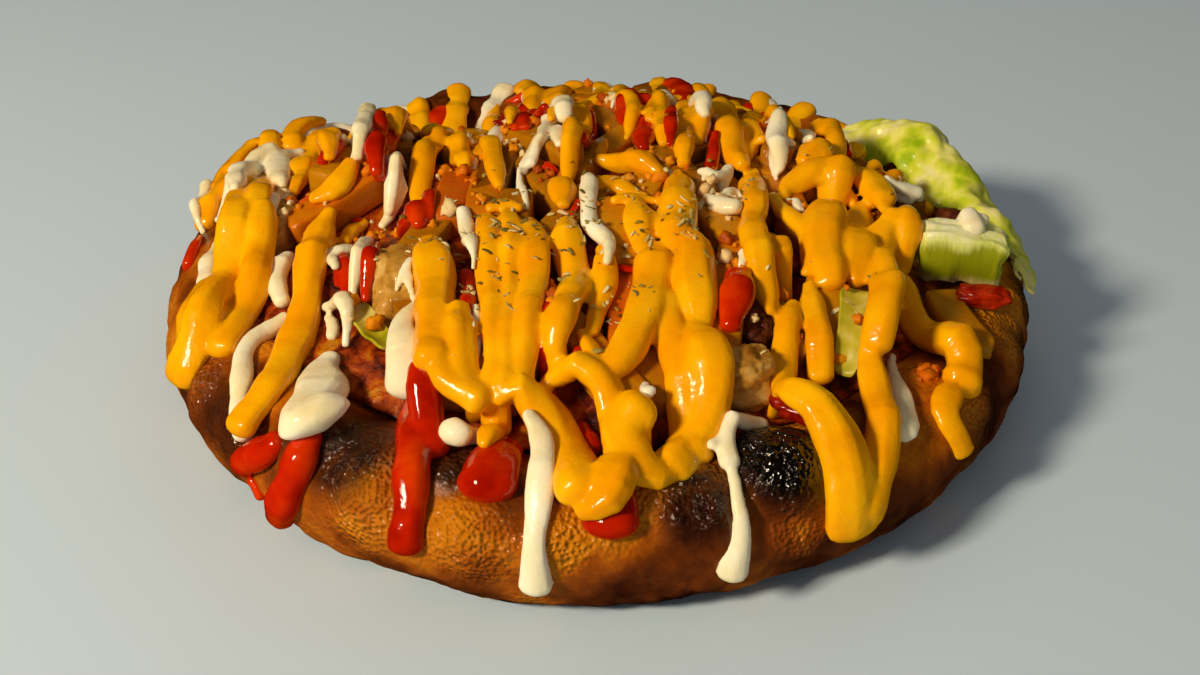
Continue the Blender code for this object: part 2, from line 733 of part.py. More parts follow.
def make_herbs(ground, collection):
    """Dried herb flakes, thickest on the front crest, as small flat slivers."""
    draw = random.Random(SEED + 3)
    tree = tree_of(ground)
    for number in range(HERB_COUNT):
        x = draw.gauss(-2, 34) * MM
        y = draw.gauss(-44, 22) * MM
        if math.hypot(x, y) > HEAP_RADIUS - 6 * MM:
            continue
        base, direction = around_rim((x, y))
        spot = base + direction * height_over(tree, base, direction)
        turn = Euler((draw.uniform(-0.3, 0.3), draw.uniform(-0.3, 0.3), draw.uniform(0, 3)))
        size = (HERB_LENGTH * draw.uniform(0.7, 1.1), HERB_LENGTH * 0.35, HERB_LENGTH * 0.42)
        box(f"herb_{number}", Matrix.Translation(spot) @ turn.to_matrix().to_4x4(), size, collection)


def between_ribs(degrees):
    """Reach and height of the leaf's ridge at an angle, smoothly between its stations."""
    for start, end in zip(LEAF_RIBS, LEAF_RIBS[1:]):
        if degrees <= end.angle:
            share = max(0.0, (degrees - start.angle) / (end.angle - start.angle))
            share = share * share * (3 - 2 * share)
            return (
                start.reach + (end.reach - start.reach) * share,
                start.height + (end.height - start.height) * share,
            )
    return LEAF_RIBS[-1].reach, LEAF_RIBS[-1].height


def sheet(name, top, thickness, collection):
    """A thin closed sheet from rows of points: both faces split into triangles alike, the edges joined."""
    rows, columns = len(top), len(top[0])
    points = [point for row in top for point in row]
    normals = []
    for r in range(rows):
        for c in range(columns):
            down = top[min(r + 1, rows - 1)][c] - top[max(r - 1, 0)][c]
            right = top[r][min(c + 1, columns - 1)] - top[r][max(c - 1, 0)]
            normals.append(right.cross(down).normalized())
    under = [point - normal * thickness for point, normal in zip(points, normals)]
    count = len(points)
    faces = []
    for r in range(rows - 1):
        for c in range(columns - 1):
            a, b = r * columns + c, r * columns + c + 1
            d, e = a + columns, b + columns
            for first, second, third in ((a, b, e), (a, e, d)):
                faces.append((first, second, third))
                faces.append((count + third, count + second, count + first))
    rim = [c for c in range(columns)]
    rim += [r * columns + columns - 1 for r in range(1, rows)]
    rim += [(rows - 1) * columns + c for c in range(columns - 2, -1, -1)]
    rim += [r * columns for r in range(rows - 2, 0, -1)]
    for start, end in zip(rim, rim[1:] + rim[:1]):
        faces.append((end, start, count + start))
        faces.append((end, count + start, count + end))
    return from_faces(name, points + under, faces, collection)


def around(grid, row, column):
    """The mean of a grid's values at a place and beside it."""
    rows = grid[max(0, row - 1) : row + 2]
    return mean(value for line in rows for value in line[max(0, column - 1) : column + 2])


def eased(needed):
    """A grid of lifts that is nowhere under what is needed and falls off softly beside it."""
    lifts = needed
    for _ in range(EASE_ROUNDS):
        lifts = [
            [max(need, EASE_SHARE * around(lifts, r, c)) for c, need in enumerate(row_needed)]
            for r, row_needed in enumerate(needed)
        ]
    return lifts


def make_leaf(ground, collection):
    """The curly leaf: up from the heap, over its ridge and down outside the rim, its outer edge frilled."""
    tree = tree_of(ground)
    profile = ((-1, 0.78), (-0.5, 0.24), (0, 0), (0.4, 0.10), (0.75, 0.42), (1, 0.95))
    rows = []
    for side, fall in profile:
        row = []
        for column in range(LEAF_COLUMNS):
            share = column / (LEAF_COLUMNS - 1)
            degrees = LEAF_RIBS[0].angle + (LEAF_RIBS[-1].angle - LEAF_RIBS[0].angle) * share
            ridge, height = between_ribs(degrees)
            narrow, broad = LEAF_OUTER if side > 0 else LEAF_INNER
            width = narrow + (broad - narrow) * min(1.0, share * 2)
            wave = math.sin(share * 26 + side * 2) * LEAF_FRILL * (0.3 + abs(side))
            turn = math.radians(degrees)
            reach = ridge + side * width * (0.55 + 0.45 * math.sin(math.pi * (0.1 + 0.8 * share))) + wave * 0.5
            row.append(Vector((reach * math.cos(turn), reach * math.sin(turn), height - fall * 15 * MM + wave)))
        rows.append(row)
    needed = []
    for row in rows:
        needed.append([])
        for point in row:
            base, direction = around_rim(point.xy)
            clear = height_over(tree, base, direction) + LEAF_CLEAR + LEAF_THICKNESS
            needed[-1].append(max(0.0, clear - (point - base).dot(direction)))
    for row, row_lifts in zip(rows, eased(needed)):
        for point, lift in zip(row, row_lifts):
            point += around_rim(point.xy)[1] * lift
    return sheet("lettuce_leaf", rows, LEAF_THICKNESS, collection)


def make_rib(collection):
    """The thick cut rib of lettuce: a bevelled block, its top domed a little."""
    x, y = (part * MM for part in RIB_PLACE)
    shape = bmesh.new()
    bmesh.ops.create_cube(shape, size=1)
    bmesh.ops.bevel(shape, geom=shape.edges[:], offset=0.14, segments=2, affect="EDGES", profile=0.6)
    for vertex in shape.verts:
        vertex.co.z += 0.10 * math.cos(vertex.co.x * 2.6) - 0.05
        vertex.co.y += 0.08 * math.sin(vertex.co.x * 4)
    turn = Euler((math.radians(8), math.radians(-RIB_TILT), math.radians(RIB_TURN))).to_matrix().to_4x4()
    place = Matrix.Translation((x, y, RIM_TOP + 0.62 * RIB_SIZE[2]))
    shape.transform(place @ turn @ Matrix.Diagonal((*RIB_SIZE, 1)))
    mesh = bpy.data.meshes.new("lettuce_rib")
    shape.to_mesh(mesh)
    shape.free()
    return new_object("lettuce_rib", mesh, collection)


def make_shred(name, run, ground, collection):
    """A narrow strip of lettuce that lies over the heap, curled up at its edges."""
    tree = tree_of(ground)
    stations = laid(run, tree, 1)[::3]
    rows = []
    for side in (-1, -0.4, 0.3, 1):
        row = []
        for i, station in enumerate(stations):
            after = stations[min(i + 1, len(stations) - 1)].middle
            along = (after - stations[max(i - 1, 0)].middle).normalized()
            across = along.cross(station.rise).normalized()
            curl = (abs(side) * 1.5 + 0.6 * math.sin(i * 2.1 + side)) * MM
            row.append(station.middle + across * side * station.wide + station.rise * (curl + LEAF_CLEAR))
        rows.append(row)
    return sheet(name, rows, SHRED_THICKNESS, collection)


def swollen(made, collection):
    """A copy of an object pushed out by the gap, to clear room for it in the heap."""
    copy = new_object(made.name + "_room", made.data.copy(), collection)
    push = copy.modifiers.new("room", "DISPLACE")
    push.mid_level = 0
    push.strength = GAP
    bpy.context.view_layer.update()
    apply_modifiers(copy)
    return copy


def fuse(target, collection, operation):
    """Joins a collection to an object, or cuts it away, and removes the collection's objects."""
    boolean = target.modifiers.new(operation.lower(), "BOOLEAN")
    boolean.operation = operation
    boolean.operand_type = "COLLECTION"
    boolean.collection = collection
    boolean.solver = "MANIFOLD"
    bpy.context.view_layer.update()
    apply_modifiers(target)
    for used in list(collection.objects):
        bpy.data.objects.remove(used)


def shell_volume(faces):
    """The volume inside a shell, below zero where it bounds a hollow."""
    volume = 0.0
    for face in faces:
        corners = [vertex.co for vertex in face.verts]
        for second, third in zip(corners[1:], corners[2:]):
            volume += corners[0].dot(second.cross(third)) / 6
    return volume


def keep_outer_shell(made):
    """Drops loose scraps and fills sealed hollows, so that one closed body is left."""
    shape = bmesh.new()
    shape.from_mesh(made.data)
    bmesh.ops.triangulate(shape, faces=shape.faces)
    shells = []
    left = set(shape.faces)
    while left:
        shell = [left.pop()]
        for face in shell:
            for edge in face.edges:
                for other in edge.link_faces:
                    if other in left:
                        left.remove(other)
                        shell.append(other)
        shells.append(shell)
    shells.sort(key=shell_volume)
    for shell in shells[:-1]:
        bmesh.ops.delete(shape, geom=shell, context="FACES")
    loose = [vertex for vertex in shape.verts if not vertex.link_faces]
    bmesh.ops.delete(shape, geom=loose, context="VERTS")
    shape.to_mesh(made.data)
    shape.free()


def part_touching(made):
    """Draws corners that all but touch, and can't be made one, towards their own neighbours."""
    shape = bmesh.new()
    shape.from_mesh(made.data)
    tree = KDTree(len(shape.verts))
    for vertex in shape.verts:
        tree.insert(vertex.co, vertex.index)
    tree.balance()
    beside = [{edge.other_vert(vertex) for edge in vertex.link_edges} for vertex in shape.verts]
    shape.verts.ensure_lookup_table()
    moves = []
    for vertex in shape.verts:
        own = beside[vertex.index]
        found = [index for _, index, _ in tree.find_range(vertex.co, TOUCHING)]
        near = [shape.verts[index] for index in found if index != vertex.index]
        if any(other not in own or len(own & beside[other.index]) > 2 for other in near):
            middle = sum((other.co for other in own), Vector()) / len(own)
            moves.append((vertex, (middle - vertex.co).normalized() * DRAWN_IN))
    for vertex, move in moves:
        vertex.co += move
    shape.to_mesh(made.data)
    shape.free()


def lighten(made, facets):
    """Brings a mesh down to about a number of triangles, least where it curves most."""
    now = sum(len(face.vertices) - 2 for face in made.data.polygons)
    fewer = made.modifiers.new("fewer", "DECIMATE")
    fewer.ratio = min(1.0, facets / now)
    fewer.use_collapse_triangulate = True
    bpy.context.view_layer.update()
    apply_modifiers(made)


def centred(objects):
    """Moves objects together so that the middle of their box stands over the origin, on z = 0."""
    corners = [vertex.co for made in objects for vertex in made.data.vertices]
    low = Vector([min(corner[axis] for corner in corners) for axis in range(3)])
    high = Vector([max(corner[axis] for corner in corners) for axis in range(3)])
    shift = Vector((-(low.x + high.x) / 2, -(low.y + high.y) / 2, -low.z))
    for made in objects:
        made.data.transform(Matrix.Translation(shift))


def main():
    """Builds the whole part."""
    for old in list(bpy.data.objects):
        bpy.data.objects.remove(old)
    scene = bpy.context.scene.collection
    collection = bpy.data.collections.new("burger_pizza")
    scene.children.link(collection)
    pieces = bpy.data.collections.new("fused_pieces")
    room = bpy.data.collections.new("cleared_room")
    for helper in (pieces, room):
        scene.children.link(helper)
        helper.hide_render = True

    crust = make_crust(collection)
    filling = make_core(collection)
    chunks = [make_chunk(chunk, collection) for chunk in CHUNKS]
    make_chips(pieces)
    make_dice(pieces)
    ground = [crust, filling, *pieces.objects]
    leaf = make_leaf(ground, collection)
    rib = make_rib(collection)
    ground += chunks
    shreds = [make_shred(name, run, ground, collection) for name, run in SHREDS]
    ground += [rib, *shreds]
    for name, runs in (
        ("ketchup", KETCHUP_RUNS + BACK_KETCHUP + behind(40, 10, 20)),
        ("mayonnaise", MAYONNAISE_RUNS + BACK_MAYONNAISE + behind(40, 8, 21)),
        ("cheese", CHEESE_RUNS + BACK_CHEESE + behind(13, 10, 22)),
        ("mayonnaise_over", MAYONNAISE_OVER),
    ):
        ground += make_layer(name, runs, ground, pieces)
    make_herbs(ground, pieces)
    fuse(filling, pieces, "UNION")
    keep_outer_shell(filling)
    lighten(filling, HEAP_FACETS)
    for solid in (crust, leaf, rib, *chunks, *shreds):
        swollen(solid, room)
        new_object(solid.name + "_place", solid.data.copy(), room)
    fuse(filling, room, "DIFFERENCE")
    keep_outer_shell(filling)
    part_touching(filling)
    centred(collection.objects)

    finishes = {
        "crust": material("baked_dough", (0.60, 0.33, 0.11), 0.5),
        "filling": material("cheese_sauce", (0.90, 0.50, 0.04), 0.35),
        "patty": material("browned_beef", (0.16, 0.07, 0.03), 0.6),
        "chicken": material("fried_chicken", (0.72, 0.52, 0.28), 0.5),
        "tomato": material("tomato", (0.62, 0.06, 0.02), 0.25),
        "lettuce": material("lettuce", (0.50, 0.66, 0.14), 0.4),
    }
    for solid in collection.objects:
        solid.data.materials.clear()
        solid.data.materials.append(finishes[solid.name.split("_")[0]])


main()
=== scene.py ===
"""The looks of the burger pizza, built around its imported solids.

Places on the plan are in millimetres from the middle of the dough, and past the top of the rim the plan is
unrolled down its outer wall. Pieces are shaped in the plan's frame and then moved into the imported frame.
"""

import logging
import math
import random
from dataclasses import dataclass
from enum import Enum
from statistics import mean
from typing import Any, Callable, Iterable, NamedTuple, Sequence

import bpy
from mathutils import Euler, Matrix, Vector, noise
from mathutils.bvhtree import BVHTree


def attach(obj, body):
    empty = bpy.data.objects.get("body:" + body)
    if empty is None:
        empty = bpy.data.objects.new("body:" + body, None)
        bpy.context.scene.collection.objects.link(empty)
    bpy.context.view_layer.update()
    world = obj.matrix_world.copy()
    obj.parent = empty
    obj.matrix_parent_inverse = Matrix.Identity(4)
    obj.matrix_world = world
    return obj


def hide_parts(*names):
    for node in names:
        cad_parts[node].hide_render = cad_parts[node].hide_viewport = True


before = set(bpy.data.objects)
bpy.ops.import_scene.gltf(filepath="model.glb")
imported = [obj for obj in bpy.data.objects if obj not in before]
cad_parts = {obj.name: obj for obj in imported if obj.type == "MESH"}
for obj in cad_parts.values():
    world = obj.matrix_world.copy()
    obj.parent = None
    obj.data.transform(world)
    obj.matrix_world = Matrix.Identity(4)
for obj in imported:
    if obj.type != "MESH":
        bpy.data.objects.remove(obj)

MM = 0.001
SEED = 11
NOISE_SEED = 5  # places the noise vectors, which would otherwise start from the clock
log = logging.getLogger("burger_pizza")


class Blister(NamedTuple):
    """A bubble baked into the rim: where it stands, how wide it is and how far it swells."""

    angle: float
    reach: float
    radius: float
    swell: float


class Hollow(NamedTuple):
    """A place where the heap lies lower: its middle on the plan, its radius and its depth."""

    x: float
    y: float
    radius: float
    depth: float


class Scorch(NamedTuple):
    """A place on the rim that the oven darkened: its middle on the plan, its radius and how dark it is."""

    x: float
    y: float
    radius: float
    depth: float


class Chip(NamedTuple):
    """A chip: its middle on the plan, its length, its turn and its lift above the heap."""

    x: float
    y: float
    length: float
    turn: float
    lift: float


class Chunk(NamedTuple):
    """A topping large enough to stand alone: its place, its size along each axis, turn, tilt and lift."""

    name: str
    x: float
    y: float
    size: tuple[float, float, float]
    turn: float
    tilt: float
    lift: float


class Run(NamedTuple):
    """A squeezed line of sauce: its width where it starts and where it ends, and the places it passes."""

    width: float
    end_width: float
    places: tuple[tuple[float, float], ...]


def runs(*lines: Sequence[Any]) -> tuple[Run, ...]:
    """Makes lines of sauce.

    Args:
        *lines: the width where each starts and where it ends, and the places it passes.

    Returns:
        The lines.
    """
    return tuple(Run(width, end_width, tuple(places)) for width, end_width, *places in lines)


class Rib(NamedTuple):
    """A station of the curly leaf: its angle, and how far out and how high its ridge is there."""

    angle: float
    reach: float
    height: float


class Flow(NamedTuple):
    """How a sauce leaves its bottle: how slim its lines are, and how they groove, swell, sway and end."""

    slim: float
    groove: float
    wobble: float
    sway: float
    bulb: float
    taper: float


class Cluster(NamedTuple):
    """Crumbs that lie together: their middle on the plan, how far they spread and their colour's place."""

    x: float
    y: float
    spread: float
    tint: float


class Swell(NamedTuple):
    """A place where the dough rises: its middle, how wide and how high it is, and how steep its side is."""

    centre: Vector
    radius: float
    rise: float
    sharpness: float


class Lamp(NamedTuple):
    """A soft lamp: where it hangs, how wide and strong it is, and whether wet food mirrors it."""

    name: str
    place: tuple[float, float, float]
    size: float
    power: float
    colour: str
    mirrored: bool


class Station(NamedTuple):
    """A cut through a run of sauce: its middle, the way it rises, and its half width and half height."""

    middle: Vector
    rise: Vector
    wide: float
    high: float


BLISTERS = (
    Blister(-70, 115 * MM, 15 * MM, 6.0 * MM),
    Blister(-80.5, 123 * MM, 12 * MM, 3.0 * MM),
    Blister(-103, 131 * MM, 13 * MM, 2.0 * MM),
    Blister(-115.5, 125 * MM, 13 * MM, 2.5 * MM),
    Blister(-128, 118 * MM, 12 * MM, 3.0 * MM),
    Blister(-30, 116 * MM, 16 * MM, 3.0 * MM),
    Blister(75, 114 * MM, 15 * MM, 3.0 * MM),
    Blister(120, 117 * MM, 13 * MM, 2.0 * MM),
    Blister(152, 120 * MM, 26 * MM, 6.0 * MM),
    Blister(-160, 119 * MM, 12 * MM, 2.0 * MM),
)

HOLLOWS = (
    Hollow(66, 66, 42, 8),
    Hollow(-36, 62, 38, 9),
    Hollow(-52, 84, 34, 7),
)

SCORCHES = (
    Scorch(39, -108, 12.5, 1.0),
    Scorch(20, -121, 10, 0.6),
    Scorch(27, -114, 8, 0.5),
    Scorch(119, -52, 12, 0.5),
    Scorch(124, -28, 12, 0.45),
    Scorch(104, -88, 11, 0.45),
    Scorch(-61, -104, 12, 0.6),
    Scorch(-34, -110, 9, 0.6),
    Scorch(-97, -86, 13, 0.5),
    Scorch(-112, -60, 10, 0.45),
    Scorch(-8, -114, 9, 0.4),
    Scorch(60, 112, 16, 0.55),
    Scorch(-50, 116, 15, 0.5),
    Scorch(-118, 45, 15, 0.5),
    Scorch(112, 40, 13, 0.4),
)

# Where the crust is golden and gritty: x, y and how far it spreads, in millimetres on the plan
GRITTY = (
    (-54, -113, 15),
    (-30, -129, 13),
    (7, -117, 12),
    (-60, -121, 11),
    (-90, -95, 10),
    (46, -124, 9),
    (-12, -131, 9),
    (103, -50, 15),
    (111, -22, 12),
    (92, -80, 11),
    (-108, -66, 12),
)

# Chips seen in the gaps of the front
SHOWN_CHIPS = (
    Chip(5, -66, 34, 88, 3),
    Chip(2, -40, 26, 95, 3),
    Chip(10, -40, 28, 84, 2),
    Chip(22.5, -58, 32, 92, 3),
    Chip(-33, -17, 28, 92, 3),
    Chip(-42, -16, 28, 86, 2),
    Chip(-74, -6, 36, 35, 4),
    Chip(-73, 12, 34, 60, 4),
    Chip(-36, -78, 30, 85, 2),
    Chip(52, 14, 26, 70, 4),
    Chip(92, -52, 26, 98, 1),
)

CHUNKS = (
    Chunk("patty_1", 34, -67, (11, 18, 12), 10, -14, 3),
    Chunk("patty_2", -14, -79, (9, 15, 10), -8, -16, 0),
    Chunk("patty_3", 101, -5, (14, 7, 7), -40, 6, 6),
    Chunk("patty_4", 30, 30, (17, 14, 11), 30, 0, 5),
    Chunk("chicken_1", -52, -49, (17, 25, 15), 12, -14, 3),
    Chunk("chicken_2", 31, -86, (18, 14, 15), 8, -8, 4),
    Chunk("chicken_3", -93, -12, (14, 22, 12), -30, 0, 4),
    Chunk("chicken_4", 54, 34, (18, 13, 12), -20, 0, 5),
    Chunk("tomato_1", 100, -44, (14, 6, 5), -14, -12, 5),
    Chunk("tomato_2", 46, -97, (15, 7, 6), -32, -24, 6.8),
    Chunk("tomato_3", -26, 74, (24, 9, 8), 4, 6, 6),
)

LEAF_RIBS = (
    Rib(-12, 113.5 * MM, 28 * MM),
    Rib(-6, 112.5 * MM, 29 * MM),
    Rib(4, 109.5 * MM, 35 * MM),
    Rib(13, 105.5 * MM, 44 * MM),
    Rib(20, 104.5 * MM, 50 * MM),
    Rib(29, 101 * MM, 46 * MM),
    Rib(36, 98 * MM, 37 * MM),
)

SHREDS = (
    ("lettuce_shred_1", Run(7, 5, ((-65, -53), (-60, -62), (-52, -75)))),
    ("lettuce_shred_2", Run(10, 6, ((64, -58), (62, -68), (58, -80)))),
    ("lettuce_shred_3", Run(5, 4, ((80, -17), (77, -27), (79, -38)))),
)

KETCHUP_RUNS = runs(
    (12, 7, (-69, -98), (-74, -105), (-81, -110), (-89, -113)),
    (10, 7, (-79, -96), (-87, -97), (-96, -96)),
    (5, 4, (-95, -101), (-94, -107)),
    (10, 8, (-46, -88), (-45, -101), (-44, -113), (-44, -120), (-47, -128)),
    (11, 9, (-44, -88), (-42, -96), (-40, -107)),
    (12, 13, (-23, -103), (-26, -112), (-27, -119)),
    (13, 13, (1, -114), (1, -121), (1, -127)),
    (8, 6, (-6, -97), (-3, -106)),
    (6, 5, (-70, -33), (-71, -45)),
    (6, 5, (-62, -29), (-61, -44), (-62, -56)),
    (3, 3, (-45, -67), (-45, -80)),
    (5, 4, (-7, -29), (-9, -37)),
    (5, 4, (-4, -45), (-3, -52), (-3, -60)),
    (6, 6, (2, -55), (6, -56), (11, -54)),
    (5, 5, (-37, -45), (-35, -59), (-33, -74)),
    (5, 6, (-15, -70), (-15, -80), (-14, -86), (-13, -91)),
    (5, 5, (-7, -85), (-6, -89), (-4, -93)),
    (8, 9, (35, -57), (32, -67), (30, -77)),
    (5, 5, (51, -78), (50, -88)),
    (8, 7, (-56, -20), (-49, -32)),
)

MAYONNAISE_RUNS = runs(
    (6, 6, (-109, -2), (-111, -14), (-110, -28), (-108, -44), (-107, -52)),
    (5.5, 6, (-84, -50), (-89, -56), (-92, -65), (-91, -76), (-91, -84), (-89, -91)),
    (5, 6, (-72, -53), (-70, -61)),
    (11, 14, (-69, -69), (-70, -79), (-69, -91), (-67, -98)),
    (7.5, 8, (-87, -26), (-88, -36), (-85, -46)),
    (4, 4, (-65, -23), (-65, -38), (-66, -52)),
    (5, 4, (-70, -30), (-74, -35), (-72, -40)),
    (2.5, 3, (-50, -49), (-50, -57), (-48, -63)),
    (6, 8, (-47, -62), (-50, -72), (-48, -81), (-49, -86)),
    (7, 8, (-29, -100), (-33, -102), (-36, -106)),
    (3, 3, (-32, -70), (-31, -80), (-30, -91)),
    (3, 6.5, (73, -65), (72, -77), (71, -88), (70, -97)),
    (5, 4, (50, -17), (55, -22)),
    (5.5, 5, (80, -3), (86, -3), (92, -5)),
    (4, 4, (97, -8), (100, -18), (102, -26)),
    (5, 4, (37, -50), (33, -55)),
)

CHEESE_RUNS = runs(
    (10, 13, (-107, 20), (-104, -2), (-102, -18), (-102, -31), (-103, -45), (-106, -56), (-113, -63)),
    (10, 9, (-95, -14), (-94, -26), (-94, -39), (-96, -50), (-99, -62)),
    (9, 9, (-77, -19), (-79, -33), (-78, -47), (-79, -57), (-81, -71), (-83, -82), (-87, -90)),
    (12, 10, (-46, -40), (-44, -54), (-42, -69), (-41, -81), (-41, -90)),
    (9, 9, (-41, -90), (-37, -94), (-32, -97), (-28, -100)),
    (9, 8, (-36, -72), (-35, -83), (-34, -91), (-32, -97)),
    (7, 7, (-32, -33), (-30, -46), (-29, -58), (-27, -76), (-26, -90), (-26, -98)),
    (7, 7, (-26, -32), (-24, -46), (-23, -60), (-23, -78), (-23, -90), (-24, -98)),
    (7.5, 6.5, (-20, -37), (-18, -50), (-18, -64), (-19, -80), (-20, -96)),
    (10.5, 8, (-10, -40), (-9, -50), (-7, -60), (-9, -74), (-11, -83), (-12, -87), (-10, -91)),
    (7, 6, (-1, -50), (0, -62), (-2, -72), (-4, -82)),
    (6, 5.5, (-6, -80), (-3, -86), (-2, -91), (-2, -96)),
    (10, 9, (12, -48), (12, -58), (10, -72), (6, -83), (3, -90), (0, -96)),
    (10, 10, (14, -54), (15, -70), (16, -81), (18, -91), (18, -100), (17, -108), (13, -115)),
    (12, 12, (15, -113), (9, -116), (5, -112), (4, -106), (8, -103)),
    (10, 10, (21, -44), (22, -58), (22, -70), (23, -79)),
    (11, 11, (22, -76), (23, -85), (24, -93), (22, -101), (18, -109)),
    (7, 12, (20, -10), (20, -20), (19, -34), (18, -50)),
    (8, 8, (8, -30), (9, -40), (9, -50)),
    (7, 7, (-4, -22), (2, -18), (8, -22), (13, -24)),
    (10, 3, (-26, -100), (-27, -104), (-28, -111)),
    (10, 12, (-25, -99), (-20, -97), (-15, -99), (-11, -105), (-8, -115), (-6, -123)),
    (10, 9, (-5, -124), (-1, -124), (2, -120), (3, -116)),
    (8, 8, (-16, -93), (-10, -91), (-3, -94), (1, -101), (3, -109), (3, -116)),
    (7.5, 7, (42, -1), (40, -20), (38, -42), (39, -56), (41, -70)),
    (7, 7, (44, -28), (44, -42), (47, -54)),
    (6, 6, (46, -16), (49, -27), (53, -35), (53, -43), (51, -51)),
    (7, 7, (47, -62), (44, -73), (42, -85), (43, -94)),
    (8, 7, (52, -54), (52, -66), (52, -76), (52, -82)),
    (11, 12, (64, -12), (59, -28), (57, -42), (58, -55)),
    (10, 9, (71, -14), (68, -24), (65, -42), (65, -52)),
    (10, 8, (78, -24), (74, -31), (72, -44), (72, -53), (70, -65), (66, -77)),
    (10, 9, (82, -22), (81, -28), (79, -36)),
    (9, 11, (78, -35), (79, -46), (82, -56), (86, -63), (89, -69), (88, -76)),
    (9, 7, (88, -75), (84, -81), (83, -87), (87, -91), (92, -94)),
    (9, 15, (40, -91), (43, -95), (48, -100), (52, -104), (55, -109), (57, -115), (59, -122)),
    (9, 11, (64, -77), (65, -85), (65, -95), (64, -103), (61, -117)),
    (9, 8, (69, -2), (74, -6), (76, -14), (76, -22)),
    (9, 8, (66, -2), (58, -7), (51, -12), (49, -17)),
    (12, 12, (67, -1), (65, -8), (62, -16)),
)

MAYONNAISE_OVER = runs(
    (7, 2, (-38, -31), (-36, -42), (-34, -52), (-33, -60)),
    (5.5, 4.5, (-5, -20), (-4, -33), (-4, -41), (0, -47), (1, -53), (0, -60)),
    (6, 6, (-18, -104), (-15, -111), (-15, -124), (-16, -131), (-17, -141)),
    (4, 4, (9, -95), (10, -101)),
    (6.5, 4.5, (37, -96), (32, -99), (28, -105), (28, -114)),
    (3, 2.5, (27, -105), (23, -110)),
    (3.5, 6, (28, -111), (29, -119), (31, -128), (30, -138)),
)

KETCHUP_OVER = runs(
    (7, 7, (-66, 22), (-66, 6), (-64, -6)),
    (6, 5, (-74, 52), (-68, 66), (-60, 78)),
    (4, 4, (-41, 91), (-34, 94), (-26, 94), (-18, 84)),
    (7, 6, (-27, 77), (-21, 50), (-18, 30)),
    (5, 5, (-17, -2), (-14, -7)),
    (5, 5, (-71, -12), (-67, -10)),
    (6, 7, (5, 84), (6, 60), (8, 42)),
    (5, 5, (32, 12), (30, 0), (29, -9)),
    (5, 4, (20, 30), (19, 14), (18, 0)),
    (5, 4, (-84, 60), (-83, 44)),
)

# Lines that lie over all the others at the back
TOP_MAYONNAISE = runs(
    (7, 7, (-106, 0), (-108, 16), (-107, 30), (-102, 38)),
    (8, 6, (-95, 42), (-100, 36), (-98, 20), (-93, 4)),
    (4, 4, (-120, 6), (-121, 20), (-119, 30)),
    (4, 4, (-113, 4), (-113, 14), (-112, 24)),
    (5, 5, (-74, 50), (-71, 24), (-70, -2)),
    (5, 5, (-59, 2), (-61, -12)),
    (6, 5, (-58, 76), (-52, 82), (-47, 76)),
    (5, 5, (-33, 84), (-34, 60), (-34, 30)),
    (6, 7, (-17, 62), (-14, 46), (-12, 20)),
    (4, 4, (-18, 4), (-19, 0), (-21, -6)),
    (4, 4, (-24, -8), (-23, -16)),
    (6, 6, (18, 84), (20, 66), (20, 46)),
    (6, 7, (28, 44), (29, 32), (29, 16)),
    (4, 4, (26, 70), (33, 74)),
    (5, 5, (52, 26), (49, 8), (49, -4)),
    (6, 5, (60, 36), (59, 20), (59, 8)),
    (5, 5, (26, -9), (30, -12), (35, -4)),
    (6, 6, (27, -25), (31, -29), (35, -32)),
    (6, 6, (79, -5), (84, -5), (91, -3)),
    (6, 5, (97, -10), (97, -20), (99, -32)),
)

# The front of the third tier, as far back as the photo shows it
BACK_KETCHUP = runs(
    (8, 8, (-66, 40), (-65, 22), (-65, 4), (-63, -6)),
    (6, 6, (-37, 66), (-29, 66), (-21, 60)),
    (8, 7, (-54, 80), (-68, 68), (-82, 60), (-86, 46)),
    (7, 6, (-26, 46), (-23, 18)),
    (5, 5, (-18, 46), (-19, 22)),
    (9, 8, (8, 54), (7, 38), (10, 24)),
    (5, 5, (19, 27), (17, 5)),
    (7, 6, (-56, -9), (-49, -34)),
    (4, 4, (33, 38), (32, 12)),
    (5, 4, (-108, 3), (-114, 5)),
    (4, 4, (-101, 6), (-96, -12)),
    (6, 5, (-18, -5), (-12, -7)),
    (5, 4, (-71, -31), (-68, -41), (-69, -48)),
    (6, 5, (-120, 2), (-120, -15)),
    (4, 4, (-49, -11), (-46, -33)),
    (5, 4, (88, 24), (94, 19)),
    (5, 5, (-8, -31), (-9, -38)),
    (6, 5, (32, -57), (30, -67)),
)

